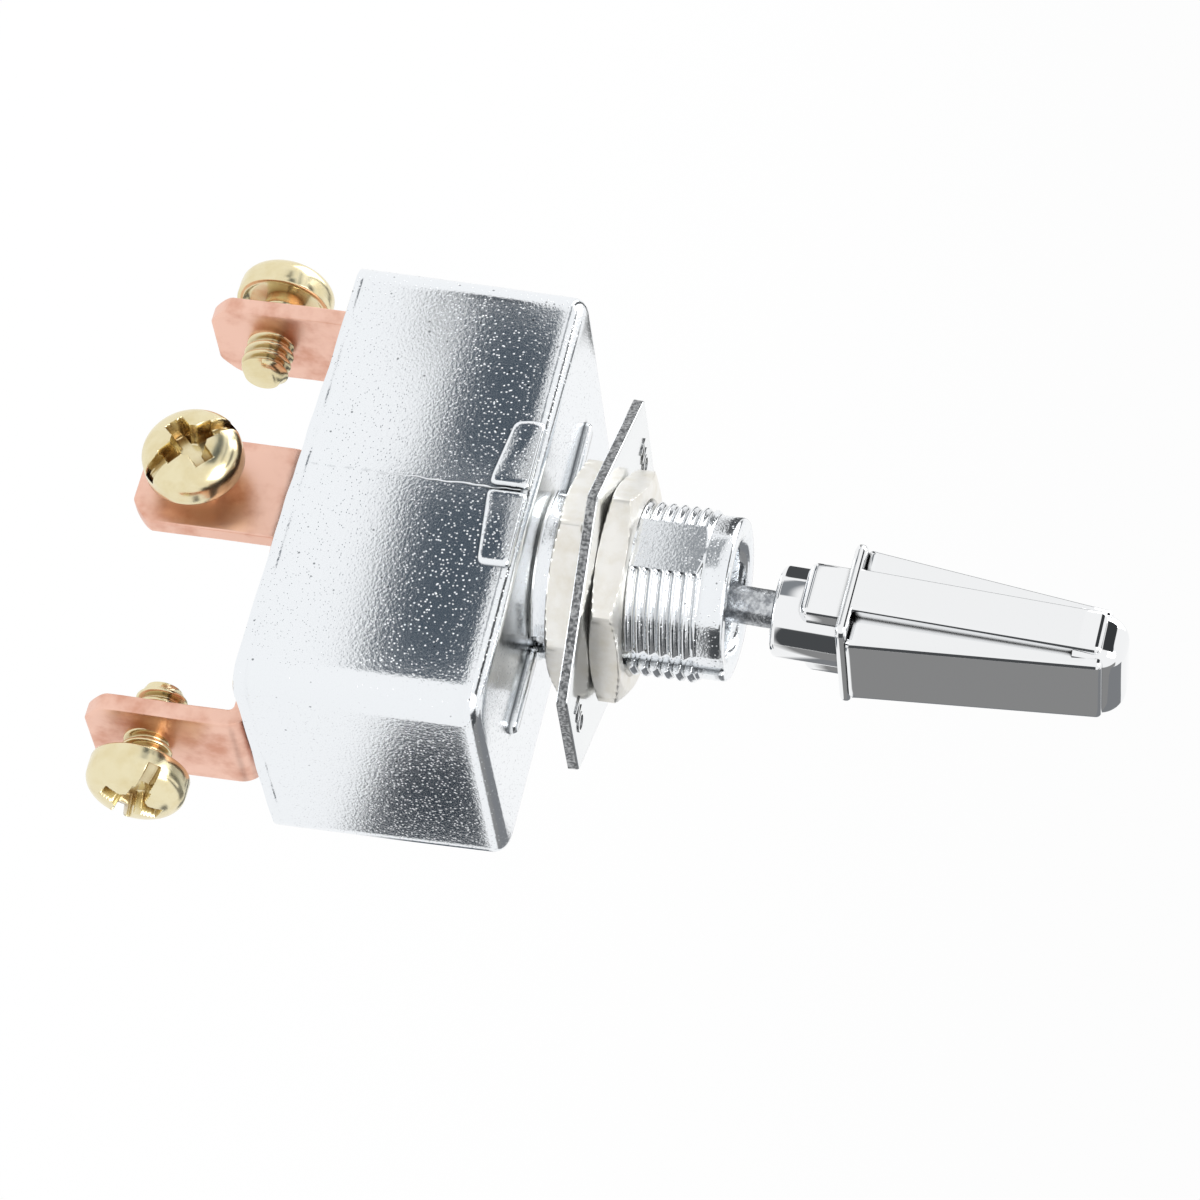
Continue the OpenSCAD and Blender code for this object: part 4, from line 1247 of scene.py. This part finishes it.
class SWITCH_OT_nuts(Operator):
    """Builds the two hexagon nuts"""

    bl_idname = "switch.nuts"
    bl_label = "Nuts"

    def execute(self, context):
        sizes = Millimetres(context.scene.switch_nuts)
        front = sizes.rear_z + sizes.rear_t + sizes.plate_t
        nuts = (
            ("rear", sizes.rear_z, sizes.rear_t, sizes.rear_turn),
            ("front", front, sizes.front_t, sizes.front_turn),
        )
        for name, z, t, turn in nuts:
            nut = hex_nut(sizes.across, z, z + t, turn)
            piece(name + "_hex_nut", [nut], "nickel", "body", name + "_nut", 24)
        return {"FINISHED"}


class SWITCH_OT_plate(Operator):
    """Builds the stamped indicator plate and its raised words"""

    bl_idname = "switch.plate"
    bl_label = "Indicator plate"

    def execute(self, context):
        sizes = Millimetres(context.scene.switch_nuts)
        z0 = sizes.rear_z + sizes.rear_t
        plate = indicator_plate(sizes, z0)
        piece("stamped_plate", [plate], "plate", "body", "indicator_plate", 30)
        words = (
            ("word_on_left", "ON", (-10.6, 0.0), -math.pi / 2),
            ("word_on_right", "ON", (10.6, 0.0), -math.pi / 2),
            ("word_off", "OFF", (0.0, 8.6), 0.0),
        )
        for name, text, centre, turn in words:
            mesh = word_mesh(name, text, centre, turn, z0 + sizes.plate_t)
            mesh.materials.append(finish("plate"))
            made = in_scene(name, mesh)
            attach(made, "body")
        return {"FINISHED"}


class SWITCH_OT_strips(Operator):
    """Builds the three copper terminal strips"""

    bl_idname = "switch.strips"
    bl_label = "Terminal strips"

    def execute(self, context):
        sizes = Millimetres(context.scene.switch_terminals)
        for side, turn, reach, _ in TERMINALS:
            strip = shell(placed(copper_strip(sizes), sizes, turn, reach))
            piece("strip_" + side, [strip], "copper", "body", "terminal_" + side, 40)
        return {"FINISHED"}


class SWITCH_OT_screws(Operator):
    """Builds the three brass terminal screws"""

    bl_idname = "switch.screws"
    bl_label = "Terminal screws"

    def execute(self, context):
        sizes = Millimetres(context.scene.switch_terminals)
        for side, turn, reach, slot_turn in TERMINALS:
            shells = []
            for points, faces in (screw_head(sizes, slot_turn), screw_shank(sizes)):
                shells.append((placed(screw_frame(points, sizes), sizes, turn, reach), faces))
            piece("brass_screw_" + side, shells, "brass", "body", "screw_" + side, 55)
        return {"FINISHED"}


class SWITCH_OT_lever(Operator):
    """Builds the turned lever with its ball and neck"""

    bl_idname = "switch.lever"
    bl_label = "Lever"

    def execute(self, context):
        sizes = Millimetres(context.scene.switch_lever)
        points, faces = turned(lever_profile(sizes))
        shells = [(leaned(points, sizes), faces)]
        piece("turned_lever", shells, "steel", "lever", "lever", 35)
        return {"FINISHED"}


class SWITCH_OT_spring(Operator):
    """Winds the plunger's spring between the plunger and the lever"""

    bl_idname = "switch.spring"
    bl_label = "Plunger spring"

    def execute(self, context):
        sizes = Millimetres(context.scene.switch_lever)
        points, faces = shell(coil_spring())
        shells = [(leaned(points, sizes), faces)]
        wound = piece("plunger_coil", shells, "steel", None, "plunger_spring", 60)
        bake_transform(wound)
        return {"FINISHED"}


class SWITCH_OT_handle(Operator):
    """Builds the chromed paddle handle"""

    bl_idname = "switch.handle"
    bl_label = "Handle"

    def execute(self, context):
        sizes = Millimetres(context.scene.switch_lever)
        shells = handle_foot(sizes) + [paddle_core(sizes), paddle_pads(sizes), paddle_tip(sizes)]
        shells = [(leaned(points, sizes), faces) for points, faces in shells]
        piece("paddle_handle", shells, "chrome", "lever", "handle", 35)
        return {"FINISHED"}


class SWITCH_OT_works(Operator):
    """Gives each solid that stays on show its finish"""

    bl_idname = "switch.works"
    bl_label = "Inner works"

    def execute(self, context):
        shown = {
            "phenolic": ["base_insulator"],
            "fibre": ["insulating_liner"],
            "copper": ["contact_left", "contact_right", "centre_rivet", "fulcrum", "rocker"],
            "silver": ["rocker_tip_left", "rocker_tip_right"],
            "steel": ["rocker_pin", "lever_pin"],
            "brass": ["plunger"],
        }
        for look, nodes in shown.items():
            for node in nodes:
                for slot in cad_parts[node].material_slots:
                    slot.material = finish(look)
        return {"FINISHED"}


GROUPS = {
    "switch_housing": HousingSizes,
    "switch_nuts": NutSizes,
    "switch_terminals": TerminalSizes,
    "switch_lever": LeverSizes,
    "switch_colours": SwitchColours,
    "switch_studio": StudioSettings,
}
STEPS = (
    SWITCH_OT_studio,
    SWITCH_OT_housing,
    SWITCH_OT_nuts,
    SWITCH_OT_plate,
    SWITCH_OT_strips,
    SWITCH_OT_screws,
    SWITCH_OT_lever,
    SWITCH_OT_spring,
    SWITCH_OT_handle,
    SWITCH_OT_works,
)


class SWITCH_PT_panel(Panel):
    """Lists the steps that build the switch"""

    bl_idname = "SWITCH_PT_panel"
    bl_label = "Toggle switch"
    bl_space_type = "VIEW_3D"
    bl_region_type = "UI"
    bl_category = "Switch"

    def draw(self, context):
        for step in STEPS:
            self.layout.operator(step.bl_idname)
        for name in GROUPS:
            group = getattr(context.scene, name)
            box = self.layout.box()
            for key in group.bl_rna.properties.keys():
                if key not in ("rna_type", "name"):
                    box.prop(group, key)


def register():
    """Registers the property groups, the operators and the panel."""
    for name, group in GROUPS.items():
        bpy.utils.register_class(group)
        setattr(bpy.types.Scene, name, PointerProperty(type=group))
    for made in (*STEPS, SWITCH_PT_panel):
        bpy.utils.register_class(made)


def unregister():
    """Takes back what register added."""
    for made in (SWITCH_PT_panel, *reversed(STEPS)):
        bpy.utils.unregister_class(made)
    for name, group in GROUPS.items():
        delattr(bpy.types.Scene, name)
        bpy.utils.unregister_class(group)


def main():
    register()
    for step in STEPS:
        group, name = step.bl_idname.split(".")
        getattr(getattr(bpy.ops, group), name)()


if __name__ == "__main__":
    main()
